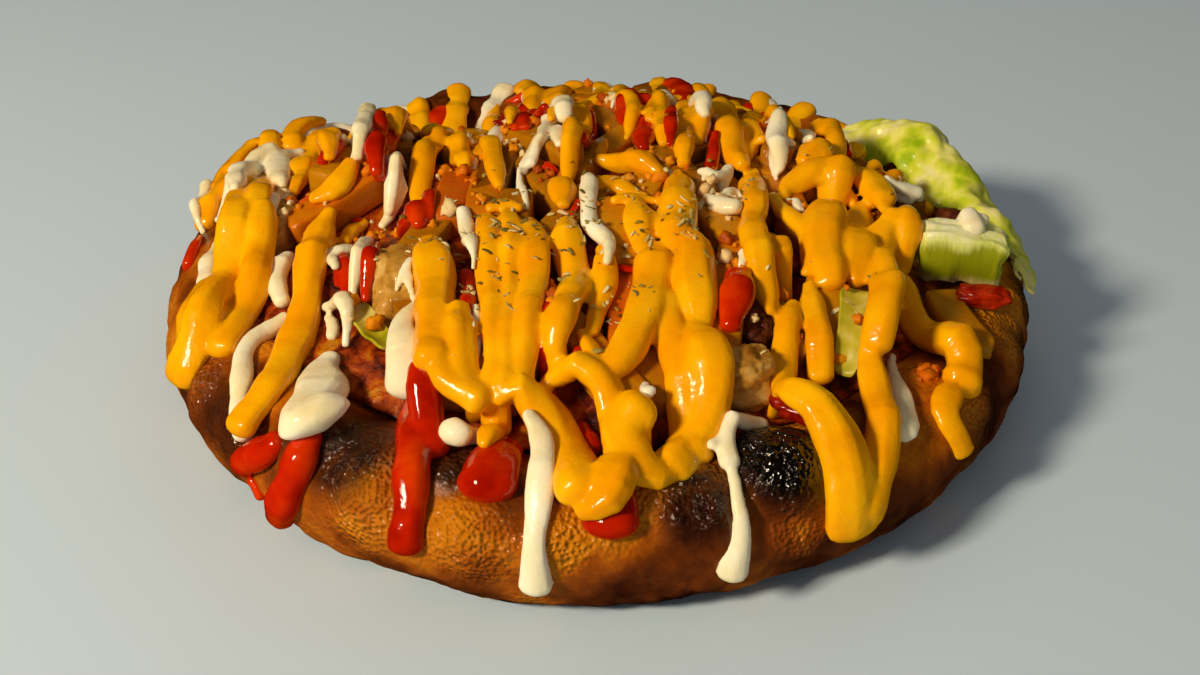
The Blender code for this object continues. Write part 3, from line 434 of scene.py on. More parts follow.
BACK_MAYONNAISE = runs(
    (5, 5, (-110, 50), (-116, 34), (-118, 16)),
    (4, 4, (-64, 82), (-70, 88), (-80, 72), (-92, 66), (-96, 50)),
    (5, 5, (-110, 40), (-106, 24), (-102, 7)),
    (5, 5, (-106, 42), (-101, 48), (-94, 38)),
    (5, 4, (-102, 29), (-98, 33), (-93, 14), (-89, -9)),
    (4, 4, (-102, 18), (-96, 6), (-94, -10), (-90, -18)),
    (4, 4, (-77, 45), (-72, 12), (-71, -6)),
    (5, 4, (-80, 44), (-76, 12)),
    (4, 4, (-58, 8), (-60, 0), (-58, -4), (-61, -8), (-63, -13)),
    (4, 4, (-52, 66), (-48, 40)),
    (4, 3.5, (-29, 60), (-32, 40), (-33, 26)),
    (5, 4, (-19, 50), (-15, 44), (-16, 28), (-18, 8), (-21, 0), (-23, -8)),
    (3, 3, (-24, -11), (-22, -22), (-21, -32)),
    (3, 3, (4, 54), (2, 41)),
    (5.5, 5, (19, 66), (19, 56), (21, 40)),
    (4, 4, (30, 66), (34, 60)),
    (5, 4.5, (34, 54), (30, 38), (28, 20), (29, 11)),
    (3.5, 3.5, (27, -13), (30, -8), (33, -14)),
    (4, 4, (35, 4), (33, -12)),
    (5.5, 5, (31, -24), (36, -16), (37, -24), (34, -33)),
    (4, 4, (48, 4), (48, -6)),
    (5, 4, (52, -18), (53, -25)),
    (6, 6, (80, -2), (85, -5), (89, -6)),
    (4, 3, (64, 50), (62, 30)),
    (4, 4, (-69, -28), (-74, -32), (-71, -41)),
    (3, 3, (-50, -49), (-52, -55), (-53, -60)),
    (3, 3, (-49, -55), (-47, -63)),
    (5, 5, (-73, -50), (-69, -54), (-66, -60), (-66, -67)),
    (5, 4, (-67, -52), (-67, -59)),
    (4, 4, (35, -50), (34, -56)),
)

BACK_CHEESE = runs(
    (7, 8, (-104, 56), (-104, 36), (-101, 12), (-98, -10), (-98, -25)),
    (6, 6, (-107, 60), (-114, 44), (-119, 26)),
    (9, 9, (-76, -16), (-78, -28), (-78, -40), (-78, -56)),
    (7, 7, (-86, 36), (-82, 18), (-78, 0)),
    (8, 8, (-53, 24), (-53, 10), (-53, -2), (-51, -13)),
    (7, 7, (-54, 52), (-54, 34)),
    (6, 6, (-39, 32), (-36, 18), (-31, -4), (-29, -17)),
    (4, 4, (-47, 62), (-45, 36)),
    (7, 7, (-9, 46), (-10, 26), (-10, 2), (-11, -16)),
    (8, 8, (-12, 52), (-6, 58), (2, 64), (12, 67), (18, 62)),
    (7, 7, (18, 64), (28, 68), (38, 66), (48, 62), (53, 56)),
    (5, 5, (15, 44), (13, 24)),
    (7, 7, (28, 64), (25, 43), (23, 18), (22, -7)),
    (8, 9, (36, 60), (36, 34), (36, 12), (39, -4)),
    (7, 7, (48, 54), (43, 26), (41, 6)),
    (8, 8, (-2, 2), (4, 0), (11, -8), (16, -13)),
    (6, 6, (0, 15), (-2, 4)),
    (8, 8, (-12, -15), (-11, -33)),
    (6, 6, (-31, -31), (-26, -29), (-22, -33)),
    (10, 10, (56, 0), (63, 8), (70, 4)),
    (8, 8, (58, -10), (65, -8), (71, -12)),
    (5, 5, (80, 2), (90, 18), (97, 12)),
    (6, 6, (77, 12), (87, 26)),
    (6, 6, (9, -33), (12, -40), (11, -49)),
    (6, 6, (2, -32), (8, -29), (15, -31)),
    (6, 6, (-68, -10), (-71, -15), (-72, -24)),
    (8, 8, (-72, 0), (-76, -8), (-82, -10)),
    (8, 7, (66, 58), (66, 40), (64, 24)),
    (7, 7, (76, 52), (77, 36), (74, 22)),
    (9, 9, (-92, 56), (-92, 36), (-90, 16)),
    (8, 7, (-97, 40), (-107, 34), (-116, 22), (-120, 8)),
    (7, 7, (-62, 84), (-66, 70), (-66, 56)),
    (8, 7, (-78, 76), (-82, 62), (-82, 46)),
    (7, 7, (-92, 66), (-98, 54), (-98, 44)),
    (7, 6, (-104, 58), (-112, 46), (-115, 34)),
    (9, 8, (-72, 70), (-72, 50), (-70, 30)),
    (8, 8, (-62, 58), (-63, 38), (-62, 20)),
)

# Where crumbs lie together
CLUSTERS = (
    Cluster(-65, 2, 9, 0.45),
    Cluster(-64, -20, 6, 0.5),
    Cluster(-14, -8, 6, 0.15),
    Cluster(0, -15, 7, 0.55),
    Cluster(12, -14, 10, 0.66),
    Cluster(28, -27, 5, 0.9),
    Cluster(33, -20, 5, 1.0),
    Cluster(-98, 30, 8, 1.0),
    Cluster(96, 18, 5, 0.35),
    Cluster(38, -53, 6, 0.5),
    Cluster(80, -73, 4, 0.3),
    Cluster(-13, -60, 7, 0.15),
    Cluster(8, 14, 9, 0.62),
    Cluster(-30, 20, 8, 0.5),
    Cluster(60, 26, 8, 0.62),
    Cluster(-84, 40, 8, 0.85),
)

# Where the dried herbs lie thickest
HERB_PLACES = (
    (-42, -44),
    (-5, -38),
    (-28, -46),
    (-12, -50),
    (12, -46),
    (-30, -62),
    (20, -40),
    (2, -72),
    (56, -110),
)

STILL = Flow(1.0, 0.0, 0.0, 0.0, 0.0, 0.0)
RUNNY = Flow(1.0, 0.10, 0.22, 0.9 * MM, 0.10, 0.45)
BLOBBY = Flow(1.0, 0.18, 0.42, 1.3 * MM, 0.20, 0.4)
ROPY = Flow(0.96, 0.24, 0.22, 0.9 * MM, 0.05, 0.45)


def linear(colour: str) -> tuple[float, float, float, float]:
    """Turns an sRGB hex colour into linear light.

    Args:
        colour: the colour as "#RRGGBB".

    Returns:
        Red, green, blue and an alpha of one.
    """
    parts = [int(colour[i : i + 2], 16) / 255 for i in (1, 3, 5)]
    red, green, blue = (p / 12.92 if p <= 0.04045 else ((p + 0.055) / 1.055) ** 2.4 for p in parts)
    return red, green, blue, 1.0


def per_mm(size: float) -> float:
    """How often a pattern with marks of a size in millimetres repeats in a metre."""
    return 1 / (size * MM)


class Paint:
    """A material while it is made: its nodes, its shader and the place that its patterns read."""

    def __init__(self, name: str) -> None:
        """Starts a material with a plain shader.

        Args:
            name: the material's name.
        """
        self.material = bpy.data.materials.new(name)
        self.material.use_nodes = True
        self.tree = self.material.node_tree
        self.shader = self.tree.nodes["Principled BSDF"]
        self.place = self.add("TexCoord", {}, output="Object")

    def add(
        self,
        kind: str,
        inputs: dict[str | int, Any],
        stops: Iterable[tuple[float, str]] = (),
        output: str | int = 0,
        **settings: Any,
    ) -> bpy.types.NodeSocket:
        """Adds a node with its settings and links.

        Args:
            kind: the node's type, without the ShaderNode that it starts with.
            inputs: a value or another node's output for each named or numbered socket.
            stops: places and colours, where the node holds a ramp.
            output: the name or number of the socket that is handed on.
            **settings: values for the node's own properties.

        Returns:
            That output of the new node.
        """
        node = self.tree.nodes.new("ShaderNode" + kind)
        for key, value in settings.items():
            setattr(node, key, value)
        self.fill(node, inputs)
        for number, (place, colour) in enumerate(stops):
            elements = node.color_ramp.elements
            stop = elements[number] if number < 2 else elements.new(place)
            stop.position = place
            stop.color = linear(colour)
        return node.outputs[output]

    def fill(self, node: bpy.types.Node, inputs: dict[str | int, Any]) -> None:
        """Sets or links a node's sockets.

        Args:
            node: the node.
            inputs: a value or another node's output for each named or numbered socket.
        """
        for key, value in inputs.items():
            if isinstance(value, bpy.types.NodeSocket):
                self.tree.links.new(value, node.inputs[key])
            else:
                node.inputs[key].default_value = value

    def finish(self, **inputs: Any) -> bpy.types.Material:
        """Sets the shader's sockets. Light scatters over radii in metres.

        Args:
            **inputs: a value or a node's output for each socket, named with _ for a space.

        Returns:
            The finished material.
        """
        inputs = {"Subsurface_Scale": 1.0, **inputs}
        self.fill(self.shader, {key.replace("_", " "): value for key, value in inputs.items()})
        return self.material


@dataclass(frozen=True)
class BakedDough:
    """Wheat dough baked hot and brushed with oil: it blisters, browns in patches and shines."""

    browns: tuple[str, ...] = ("#461A02", "#7A3802", "#A65402", "#CA7A08")
    levels: tuple[float, ...] = (0.38, 0.58, 0.72, 0.92)
    char: str = "#0A0605"
    burnt: str = "#2E1005"
    patch: float = 18
    mottle: float = 5
    bubble: float = 1.1
    crinkle: float = 3.2
    relief: float = 1.1

    def material(self) -> bpy.types.Material:
        """Builds the dough's finish: browned by its own numbers, scorched unevenly, gritty where it is crisp.

        Returns:
            The material.
        """
        paint = Paint("oiled_dough")
        place = paint.place
        inputs = {"Vector": place, "Scale": per_mm(self.patch), "Detail": 4.0, "Roughness": 0.6}
        broad = paint.add("TexNoise", {**inputs, "Distortion": 0.6})
        inputs = {"Vector": place, "Scale": per_mm(self.mottle), "Detail": 5.0, "Roughness": 0.65}
        fine = paint.add("TexNoise", inputs)
        # the golden attribute holds the crust's own browning and a little painted shade towards its right
        # side
        golden = paint.add("Attribute", {}, output="Fac", attribute_name="golden")
        both = paint.add("Math", {0: fine, 1: 0.42, 2: golden}, operation="MULTIPLY_ADD")
        level = paint.add("Math", {0: broad, 1: 0.5, 2: both}, operation="MULTIPLY_ADD")
        brown = paint.add("ValToRGB", {"Fac": level}, zip(self.levels, self.browns))

        scorch = paint.add("Attribute", {}, output="Fac", attribute_name="scorch")
        edge = paint.add("Math", {0: fine, 1: 0.5}, operation="SUBTRACT")
        uneven = paint.add("Math", {0: edge, 1: 0.55, 2: scorch}, operation="MULTIPLY_ADD")
        dark = paint.add("MapRange", {0: uneven, 1: 0.12, 2: 0.62})
        black = paint.add("MapRange", {0: uneven, 1: 0.60, 2: 0.86})
        toasted = paint.add("Mix", {0: dark, 6: brown, 7: linear(self.burnt)}, output=2, data_type="RGBA")
        colour = paint.add("Mix", {0: black, 6: toasted, 7: linear(self.char)}, output=2, data_type="RGBA")

        cells = paint.add("TexVoronoi", {"Vector": place, "Scale": per_mm(self.bubble)}, feature="SMOOTH_F1")
        crisp = paint.add("Attribute", {}, output="Fac", attribute_name="crisp")
        grit = paint.add("Math", {0: cells, 1: crisp}, operation="MULTIPLY")
        inputs = {"Vector": place, "Scale": per_mm(self.crinkle), "Detail": 1.0, "Roughness": 0.7}
        folds = paint.add("TexVoronoi", inputs, feature="SMOOTH_F1")
        charred = paint.add("Math", {0: black, 1: 2.2, 2: dark}, operation="MULTIPLY_ADD")
        crinkled = paint.add("Math", {0: folds, 1: charred, 2: grit}, operation="MULTIPLY_ADD")
        relief = paint.add("Math", {0: fine, 1: 0.5, 2: crinkled}, operation="MULTIPLY_ADD")
        bump = paint.add("Bump", {"Strength": 0.7, "Distance": self.relief * MM, "Height": relief})
        return paint.finish(
            Base_Color=colour,
            Roughness=paint.add("MapRange", {0: fine, 1: 0.3, 2: 0.7, 3: 0.4, 4: 0.6}),
            Normal=bump,
            Specular_IOR_Level=0.1,
            Coat_Weight=paint.add("MapRange", {0: charred, 1: 0.0, 2: 2.0, 3: 0.5, 4: 1.0}),
            Coat_Roughness=0.06,
            Coat_Normal=bump,
            Subsurface_Weight=0.06,
            Subsurface_Radius=(0.003, 0.0015, 0.0006),
        )


@dataclass(frozen=True)
class Squeezed:
    """A thick sauce squeezed from a bottle: smooth, wet and a little see-through where it is thin."""

    name: str
    colours: tuple[str, str, str]
    roughness: float
    coat: float
    depth: float
    levels: tuple[float, ...] = (0.32, 0.5, 0.68)
    cloud: float = 14
    flow: float = 3
    relief: float = 0.6

    def material(self) -> bpy.types.Material:
        """Builds the sauce's finish: cloudy in its colour and rippled on its skin.

        Returns:
            The material.
        """
        paint = Paint(self.name)
        inputs = {"Vector": paint.place, "Scale": per_mm(self.cloud), "Detail": 3.0, "Roughness": 0.55}
        cloud = paint.add("TexNoise", inputs)
        inputs |= {"Scale": per_mm(self.flow), "Detail": 3.5, "Distortion": 0.5}
        ripple = paint.add("TexNoise", inputs)
        bump = paint.add("Bump", {"Strength": 0.4, "Distance": self.relief * MM, "Height": ripple})
        rough = {0: cloud, 1: 0.3, 2: 0.7, 3: self.roughness * 0.8, 4: self.roughness * 1.3}
        return paint.finish(
            Base_Color=paint.add("ValToRGB", {"Fac": cloud}, zip(self.levels, self.colours)),
            Roughness=paint.add("MapRange", rough),
            Normal=bump,
            IOR=1.46,
            Specular_IOR_Level=0.2,
            Coat_Weight=self.coat,
            Coat_Roughness=0.06,
            Coat_Normal=bump,
            Subsurface_Weight=self.depth,
            Subsurface_Radius=(0.0035, 0.0014, 0.0003),
        )


@dataclass(frozen=True)
class Morsel:
    """Cooked or cut food with a grain of its own: one run of colours, a rough skin and a little juice."""

    name: str
    colours: tuple[str, ...]
    grain: float
    relief: float
    roughness: float
    coat: float = 0.2
    depth: float = 0.1
    tinted: bool = False

    def material(self) -> bpy.types.Material:
        """Builds the food's finish. A tinted one takes each bit's place in the colours from the bit.

        Returns:
            The material.
        """
        paint = Paint(self.name)
        inputs = {"Vector": paint.place, "Scale": per_mm(self.grain), "Detail": 5.0, "Roughness": 0.6}
        level = paint.add("TexNoise", {**inputs, "Distortion": 0.4})
        first, last = 0.33, 0.68
        if self.tinted:
            tint = paint.add("Attribute", {}, output="Fac", attribute_name="tint")
            centred = paint.add("Math", {0: level, 1: 0.5}, operation="SUBTRACT")
            level = paint.add("Math", {0: centred, 1: 0.45, 2: tint}, operation="MULTIPLY_ADD")
            first, last = 0.0, 1.0
        count = len(self.colours) - 1
        stops = [(first + (last - first) * i / count, colour) for i, colour in enumerate(self.colours)]
        inputs |= {"Scale": per_mm(self.grain * 0.3), "Detail": 4.0, "Roughness": 0.7}
        fine = paint.add("TexNoise", inputs)
        bump = paint.add("Bump", {"Strength": 0.6, "Distance": self.relief * MM, "Height": fine})
        rough = {0: fine, 1: 0.3, 2: 0.7, 3: self.roughness * 0.75, 4: self.roughness * 1.25}
        return paint.finish(
            Base_Color=paint.add("ValToRGB", {"Fac": level}, stops),
            Roughness=paint.add("MapRange", rough),
            Normal=bump,
            Specular_IOR_Level=0.12,
            Coat_Weight=self.coat * 0.6,
            Coat_Roughness=0.08,
            Coat_Normal=bump,
            Subsurface_Weight=self.depth,
            Subsurface_Radius=(0.003, 0.0015, 0.0005),
        )


@dataclass(frozen=True)
class CrispLeaf:
    """Raw lettuce: thin and bright where it is green, pale and wet along its veins."""

    name: str
    greens: tuple[str, str, str, str]
    levels: tuple[float, ...] = (0.26, 0.42, 0.55, 0.70)
    patch: float = 16
    cell: float = 5
    relief: float = 0.5

    def material(self) -> bpy.types.Material:
        """Builds the leaf's finish: pale veins between green cells.

        Returns:
            The material.
        """
        paint = Paint(self.name)
        inputs = {"Vector": paint.place, "Scale": per_mm(self.patch), "Detail": 3.0, "Roughness": 0.55}
        broad = paint.add("TexNoise", inputs)
        inputs = {"Vector": paint.place, "Scale": per_mm(self.cell), "Randomness": 0.9}
        cells = paint.add("TexVoronoi", inputs, feature="DISTANCE_TO_EDGE")
        inside = paint.add("MapRange", {0: cells, 1: 0.0, 2: 0.3, 3: -0.09, 4: 0.03})
        level = paint.add("Math", {0: broad, 1: inside}, operation="ADD")
        return paint.finish(
            Base_Color=paint.add("ValToRGB", {"Fac": level}, zip(self.levels, self.greens)),
            Roughness=0.4,
            Normal=paint.add("Bump", {"Strength": 0.25, "Distance": self.relief * MM, "Height": cells}),
            Specular_IOR_Level=0.25,
            Coat_Weight=0.15,
            Coat_Roughness=0.15,
            Subsurface_Weight=0.35,
            Subsurface_Radius=(0.002, 0.003, 0.0006),
        )


@dataclass(frozen=True)
class CutRib:
    """The thick rib of a lettuce leaf, cut across: pale where it is cut, olive green and wet in front."""

    greens: tuple[str, ...] = ("#C8C080", "#8C920A", "#A0A816", "#E4EC86", "#FAFAD6")
    levels: tuple[float, ...] = (0.36, 0.52, 0.92, 1.08, 1.25)
    level_range: float = 1.3
    low: float = 34 * MM
    high: float = 51.5 * MM
    strand: float = 1.6
    strand_length: float = 0.12
    blotch: float = 9
    relief: float = 0.5

    def material(self) -> bpy.types.Material:
        """Builds the rib's finish: bands by height, broken up by upright strands.

        Returns:
            The material.
        """
        paint = Paint("crisp_rib")
        upright = paint.add("Mapping", {"Vector": paint.place, "Scale": (1, 1, self.strand_length)})
        inputs = {"Vector": upright, "Scale": per_mm(self.strand), "Detail": 3.0, "Roughness": 0.6}
        strands = paint.add("TexNoise", inputs)
        broad = paint.add("TexNoise", {"Vector": paint.place, "Scale": per_mm(self.blotch), "Detail": 2.0})
        height = paint.add("SeparateXYZ", {0: paint.place}, output=2)
        level = paint.add("MapRange", {0: height, 1: self.low, 2: self.high})
        blotch = paint.add("Math", {0: broad, 1: 0.3, 2: level}, operation="MULTIPLY_ADD")
        band = paint.add("Math", {0: strands, 1: 0.35, 2: blotch}, operation="MULTIPLY_ADD")
        share = paint.add("Math", {0: band, 1: self.level_range}, operation="DIVIDE")
        stops = [(place / self.level_range, colour) for place, colour in zip(self.levels, self.greens)]
        return paint.finish(
            Base_Color=paint.add("ValToRGB", {"Fac": share}, stops),
            Roughness=0.3,
            Normal=paint.add("Bump", {"Strength": 0.6, "Distance": self.relief * MM, "Height": strands}),
            Coat_Weight=0.35,
            Coat_Roughness=0.1,
            Subsurface_Weight=0.3,
            Subsurface_Radius=(0.003, 0.004, 0.001),
        )


@dataclass(frozen=True)
class PaleFloor:
    """Matt painted board, plain and pale."""

    colour: str = "#CFE6FF"
    washes_per_metre: float = 9.0

    def material(self) -> bpy.types.Material:
        """Builds the floor's finish: one colour, a little uneven in its sheen.

        Returns:
            The material.
        """
        paint = Paint("pale_floor")
        wash = paint.add("TexNoise", {"Vector": paint.place, "Scale": self.washes_per_metre, "Detail": 2.0})
        rough = paint.add("MapRange", {0: wash, 3: 0.7, 4: 0.85})
        return paint.finish(Base_Color=linear(self.colour), Roughness=rough)


class Finish(Enum):
    """The finishes of the pizza's pieces."""

    DOUGH = BakedDough()
    CHEESE = Squeezed("squeezed_cheese_sauce", ("#F09C00", "#FAAC00", "#FFBC04"), 0.2, 0.25, 0.12)
    MAYONNAISE = Squeezed("squeezed_mayonnaise", ("#F0E2B2", "#F8EFCC", "#FCF8E2"), 0.32, 0.15, 0.12)
    KETCHUP = Squeezed("squeezed_ketchup", ("#9A1000", "#C02000", "#DA3E02"), 0.12, 0.5, 0.03)
    # The heap's colours are darkened, nearly to black at the low end, to paint the shade in the gaps between
    # the sauce lines over the filling's own soaked brown.
    HEAP = Morsel("soaked_filling", ("#220502", "#6A1A02", "#B04606", "#C8840C"), 6, 1.4, 0.35, 0.6)
    POTATO = Morsel(
        "fried_potato", ("#7E4400", "#AA6A00", "#C88800", "#C85A02"), 7, 0.5, 0.4, 0.5, 0.15, tinted=True
    )
    BEEF = Morsel("grilled_beef", ("#260A04", "#521E08", "#80401A"), 3.5, 1.2, 0.5, 0.5)
    CHICKEN = Morsel("crisp_chicken", ("#8A5410", "#BE8A34", "#DAB46A"), 9, 0.3, 0.35, 0.5, 0.2)
    TOMATO = Morsel("cut_tomato", ("#6A0802", "#8E1402", "#B02C06"), 6, 0.2, 0.25, 0.6, 0.15)
    DICE = Morsel(
        "diced_salad", ("#B02004", "#D85A06", "#DCA850", "#EBD9AE"), 4, 0.5, 0.4, 0.4, 0.2, tinted=True
    )
    CRUMBS = Morsel(
        "fried_crumbs", ("#8E3004", "#D86A02", "#F29A06", "#F3DCA4"), 3, 0.6, 0.45, 0.4, 0.15, tinted=True
    )
    HERBS = Morsel(
        "dried_herbs", ("#5E4A10", "#A08C3C", "#D2BE76", "#F0E4B0"), 1.5, 0.2, 0.7, 0.0, 0.0, tinted=True
    )
    LEAF = CrispLeaf("crisp_lettuce", ("#F8F6C0", "#ECF078", "#D2E234", "#A2C60C"))
    SHRED = CrispLeaf("soaked_lettuce", ("#D8CC70", "#BEB42C", "#A0A00E", "#7E8606"))
    RIB = CutRib()
    FLOOR = PaleFloor()

    def material(self) -> bpy.types.Material:
        """The finish's material, made once."""
        if self not in MADE:
            MADE[self] = self.value.material()
        return MADE[self]


MADE: dict[Finish, bpy.types.Material] = {}


def in_scene(name: str, data: bpy.types.ID) -> bpy.types.Object:
    """Puts a mesh, a light or a camera into the scene.

    Args:
        name: the object's name.
        data: what it holds.

    Returns:
        The object.
    """
    made = bpy.data.objects.new(name, data)
    bpy.context.scene.collection.objects.link(made)
    return made


def only(made: bpy.types.Object) -> None:
    """Selects one object alone and makes it the active one.

    Args:
        made: the object.
    """
    bpy.ops.object.select_all(action="DESELECT")
    made.select_set(True)
    bpy.context.view_layer.objects.active = made


def face_out(made: bpy.types.Object) -> None:
    """Turns the faces outwards and shades them smooth.

    Args:
        made: the object.
    """
    only(made)
    bpy.ops.object.mode_set(mode="EDIT")
    bpy.ops.mesh.select_all(action="SELECT")
    bpy.ops.mesh.normals_make_consistent(inside=False)
    bpy.ops.object.mode_set(mode="OBJECT")
    bpy.ops.object.shade_smooth()


def worked(made: bpy.types.Object, kind: str, **settings: Any) -> None:
    """Adds a modifier with its settings and applies it.

    Args:
        made: the object.
        kind: the modifier's type.
        **settings: values for the modifier's properties.
    """
    only(made)
    modifier = made.modifiers.new(kind.lower(), kind)
    for key, value in settings.items():
        setattr(modifier, key, value)
    bpy.ops.object.modifier_apply(modifier=modifier.name)


def mould(made: bpy.types.Object, move: Callable[[Vector], Vector]) -> None:
    """Moves every point of a mesh to where a function puts it.

    Args:
        made: the object.
        move: gives each point its new place.
    """
    for vertex in made.data.vertices:
        vertex.co = move(vertex.co.copy())
    made.data.update()


def paint_points(made: bpy.types.Object, name: str, value: Callable[[Vector], float]) -> None:
    """Writes a number for each point of a mesh into an attribute."""
    layer = made.data.attributes.new(name, "FLOAT", "POINT")
    layer.data.foreach_set("value", [value(vertex.co) for vertex in made.data.vertices])


def turned(name: str, outline: Sequence[tuple[float, float]], steps: int, merge: float) -> bpy.types.Object:
    """Turns an outline once round the upright axis.

    Args:
        name: the object's name.
        outline: distances from the axis and heights, from the middle out and round to it again.
        steps: how many steps go round.
        merge: how near points are joined.

    Returns:
        The turned object.
    """
    mesh = bpy.data.meshes.new(name)
    mesh.from_pydata([(r, 0, z) for r, z in outline], [(i, i + 1) for i in range(len(outline) - 1)], [])
    made = in_scene(name, mesh)
    worked(made, "SCREW", steps=steps, render_steps=steps, use_merge_vertices=True, merge_threshold=merge)
    worked(made, "WELD", merge_threshold=merge)
    return made


def block(bevel: float, segments: int, cuts: int, profile: float = 0.5) -> bpy.types.Object:
    """Makes a unit cube with rounded edges and divided faces.

    Args:
        bevel: how far in the rounding starts.
        segments: how many steps it has.
        cuts: how often each edge is cut after that.
        profile: how full the rounding is.

    Returns:
        The block.
    """
    bpy.ops.object.select_all(action="DESELECT")
    bpy.ops.mesh.primitive_cube_add(size=1)
    made = bpy.context.active_object
    bpy.ops.object.mode_set(mode="EDIT")
    bpy.ops.mesh.bevel(offset=bevel, segments=segments, affect="EDGES", profile=profile)
    bpy.ops.mesh.subdivide(number_cuts=cuts)
    bpy.ops.object.mode_set(mode="OBJECT")
    return made


def ball(cuts: int) -> bpy.types.Object:
    """Makes a ball that is one unit across.

    Args:
        cuts: how often its faces are halved.

    Returns:
        The ball.
    """
    bpy.ops.object.select_all(action="DESELECT")
    bpy.ops.mesh.primitive_ico_sphere_add(subdivisions=cuts, radius=0.5)
    return bpy.context.active_object


def spot_within(draw: random.Random, radius: float) -> tuple[float, float]:
    """Draws a place inside a circle, evenly over it.

    Args:
        draw: gives the random numbers.
        radius: the circle's.

    Returns:
        The place's x and y.
    """
    reach = radius * math.sqrt(draw.random())
    angle = draw.uniform(0, math.tau)
    return reach * math.cos(angle), reach * math.sin(angle)


def tossed(draw: random.Random) -> Matrix:
    """Draws how a small thing fell: tilted a little and turned any way."""
    return Euler((draw.uniform(-0.5, 0.5), draw.uniform(-0.5, 0.5), draw.uniform(0, 3))).to_matrix()


class Shape:
    """Points and faces gathered from several bits, with one number for each point where a finish needs it."""

    def __init__(self) -> None:
        """Starts empty."""
        self.points: list[Vector] = []
        self.faces: list[tuple[int, ...]] = []
        self.values: list[float] = []

    def take(self, points: Iterable[Vector], faces: Iterable[Sequence[int]], value: float = 0.0) -> None:
        """Adds a bit.

        Args:
            points: its points.
            faces: its faces, numbered from its own first point.
            value: the number that each of its points carries.
        """
        start = len(self.points)
        self.points += points
        self.faces += [tuple(start + corner for corner in face) for face in faces]
        self.values += [value] * (len(self.points) - start)

    def join(self, other: "Shape") -> None:
        """Adds another shape."""
        self.take(other.points, other.faces)

    def take_mesh(self, mesh: bpy.types.Mesh, centre: Sequence[float] = (0, 0, 0)) -> None:
        """Adds a mesh, its points measured from a centre."""
        points = [vertex.co - Vector(centre) for vertex in mesh.vertices]
        self.take(points, [tuple(face.vertices) for face in mesh.polygons])

    def tree(self) -> BVHTree:
        """A search tree over the faces."""
        return BVHTree.FromPolygons(self.points, self.faces)

    def piece(self, name: str, attribute: str = "") -> bpy.types.Object:
        """Makes a smooth mesh object of the gathered bits, every shell facing out.

        Args:
            name: the object's name.
            attribute: the name under which its finish reads the points' numbers, if it does.

        Returns:
            The object.
        """
        mesh = bpy.data.meshes.new(name)
        mesh.from_pydata(self.points, [], self.faces)
        made = in_scene(name, mesh)
        if attribute:
            layer = mesh.attributes.new(attribute, "FLOAT", "POINT")
            layer.data.foreach_set("value", self.values)
        face_out(made)
        return made


def taken(made: bpy.types.Object) -> Shape:
    """Reads an object into a shape and removes the object.

    Args:
        made: the object.

    Returns:
        Its points and faces.
    """
    shape = Shape()
    shape.take_mesh(made.data)
    bpy.data.objects.remove(made)
    return shape


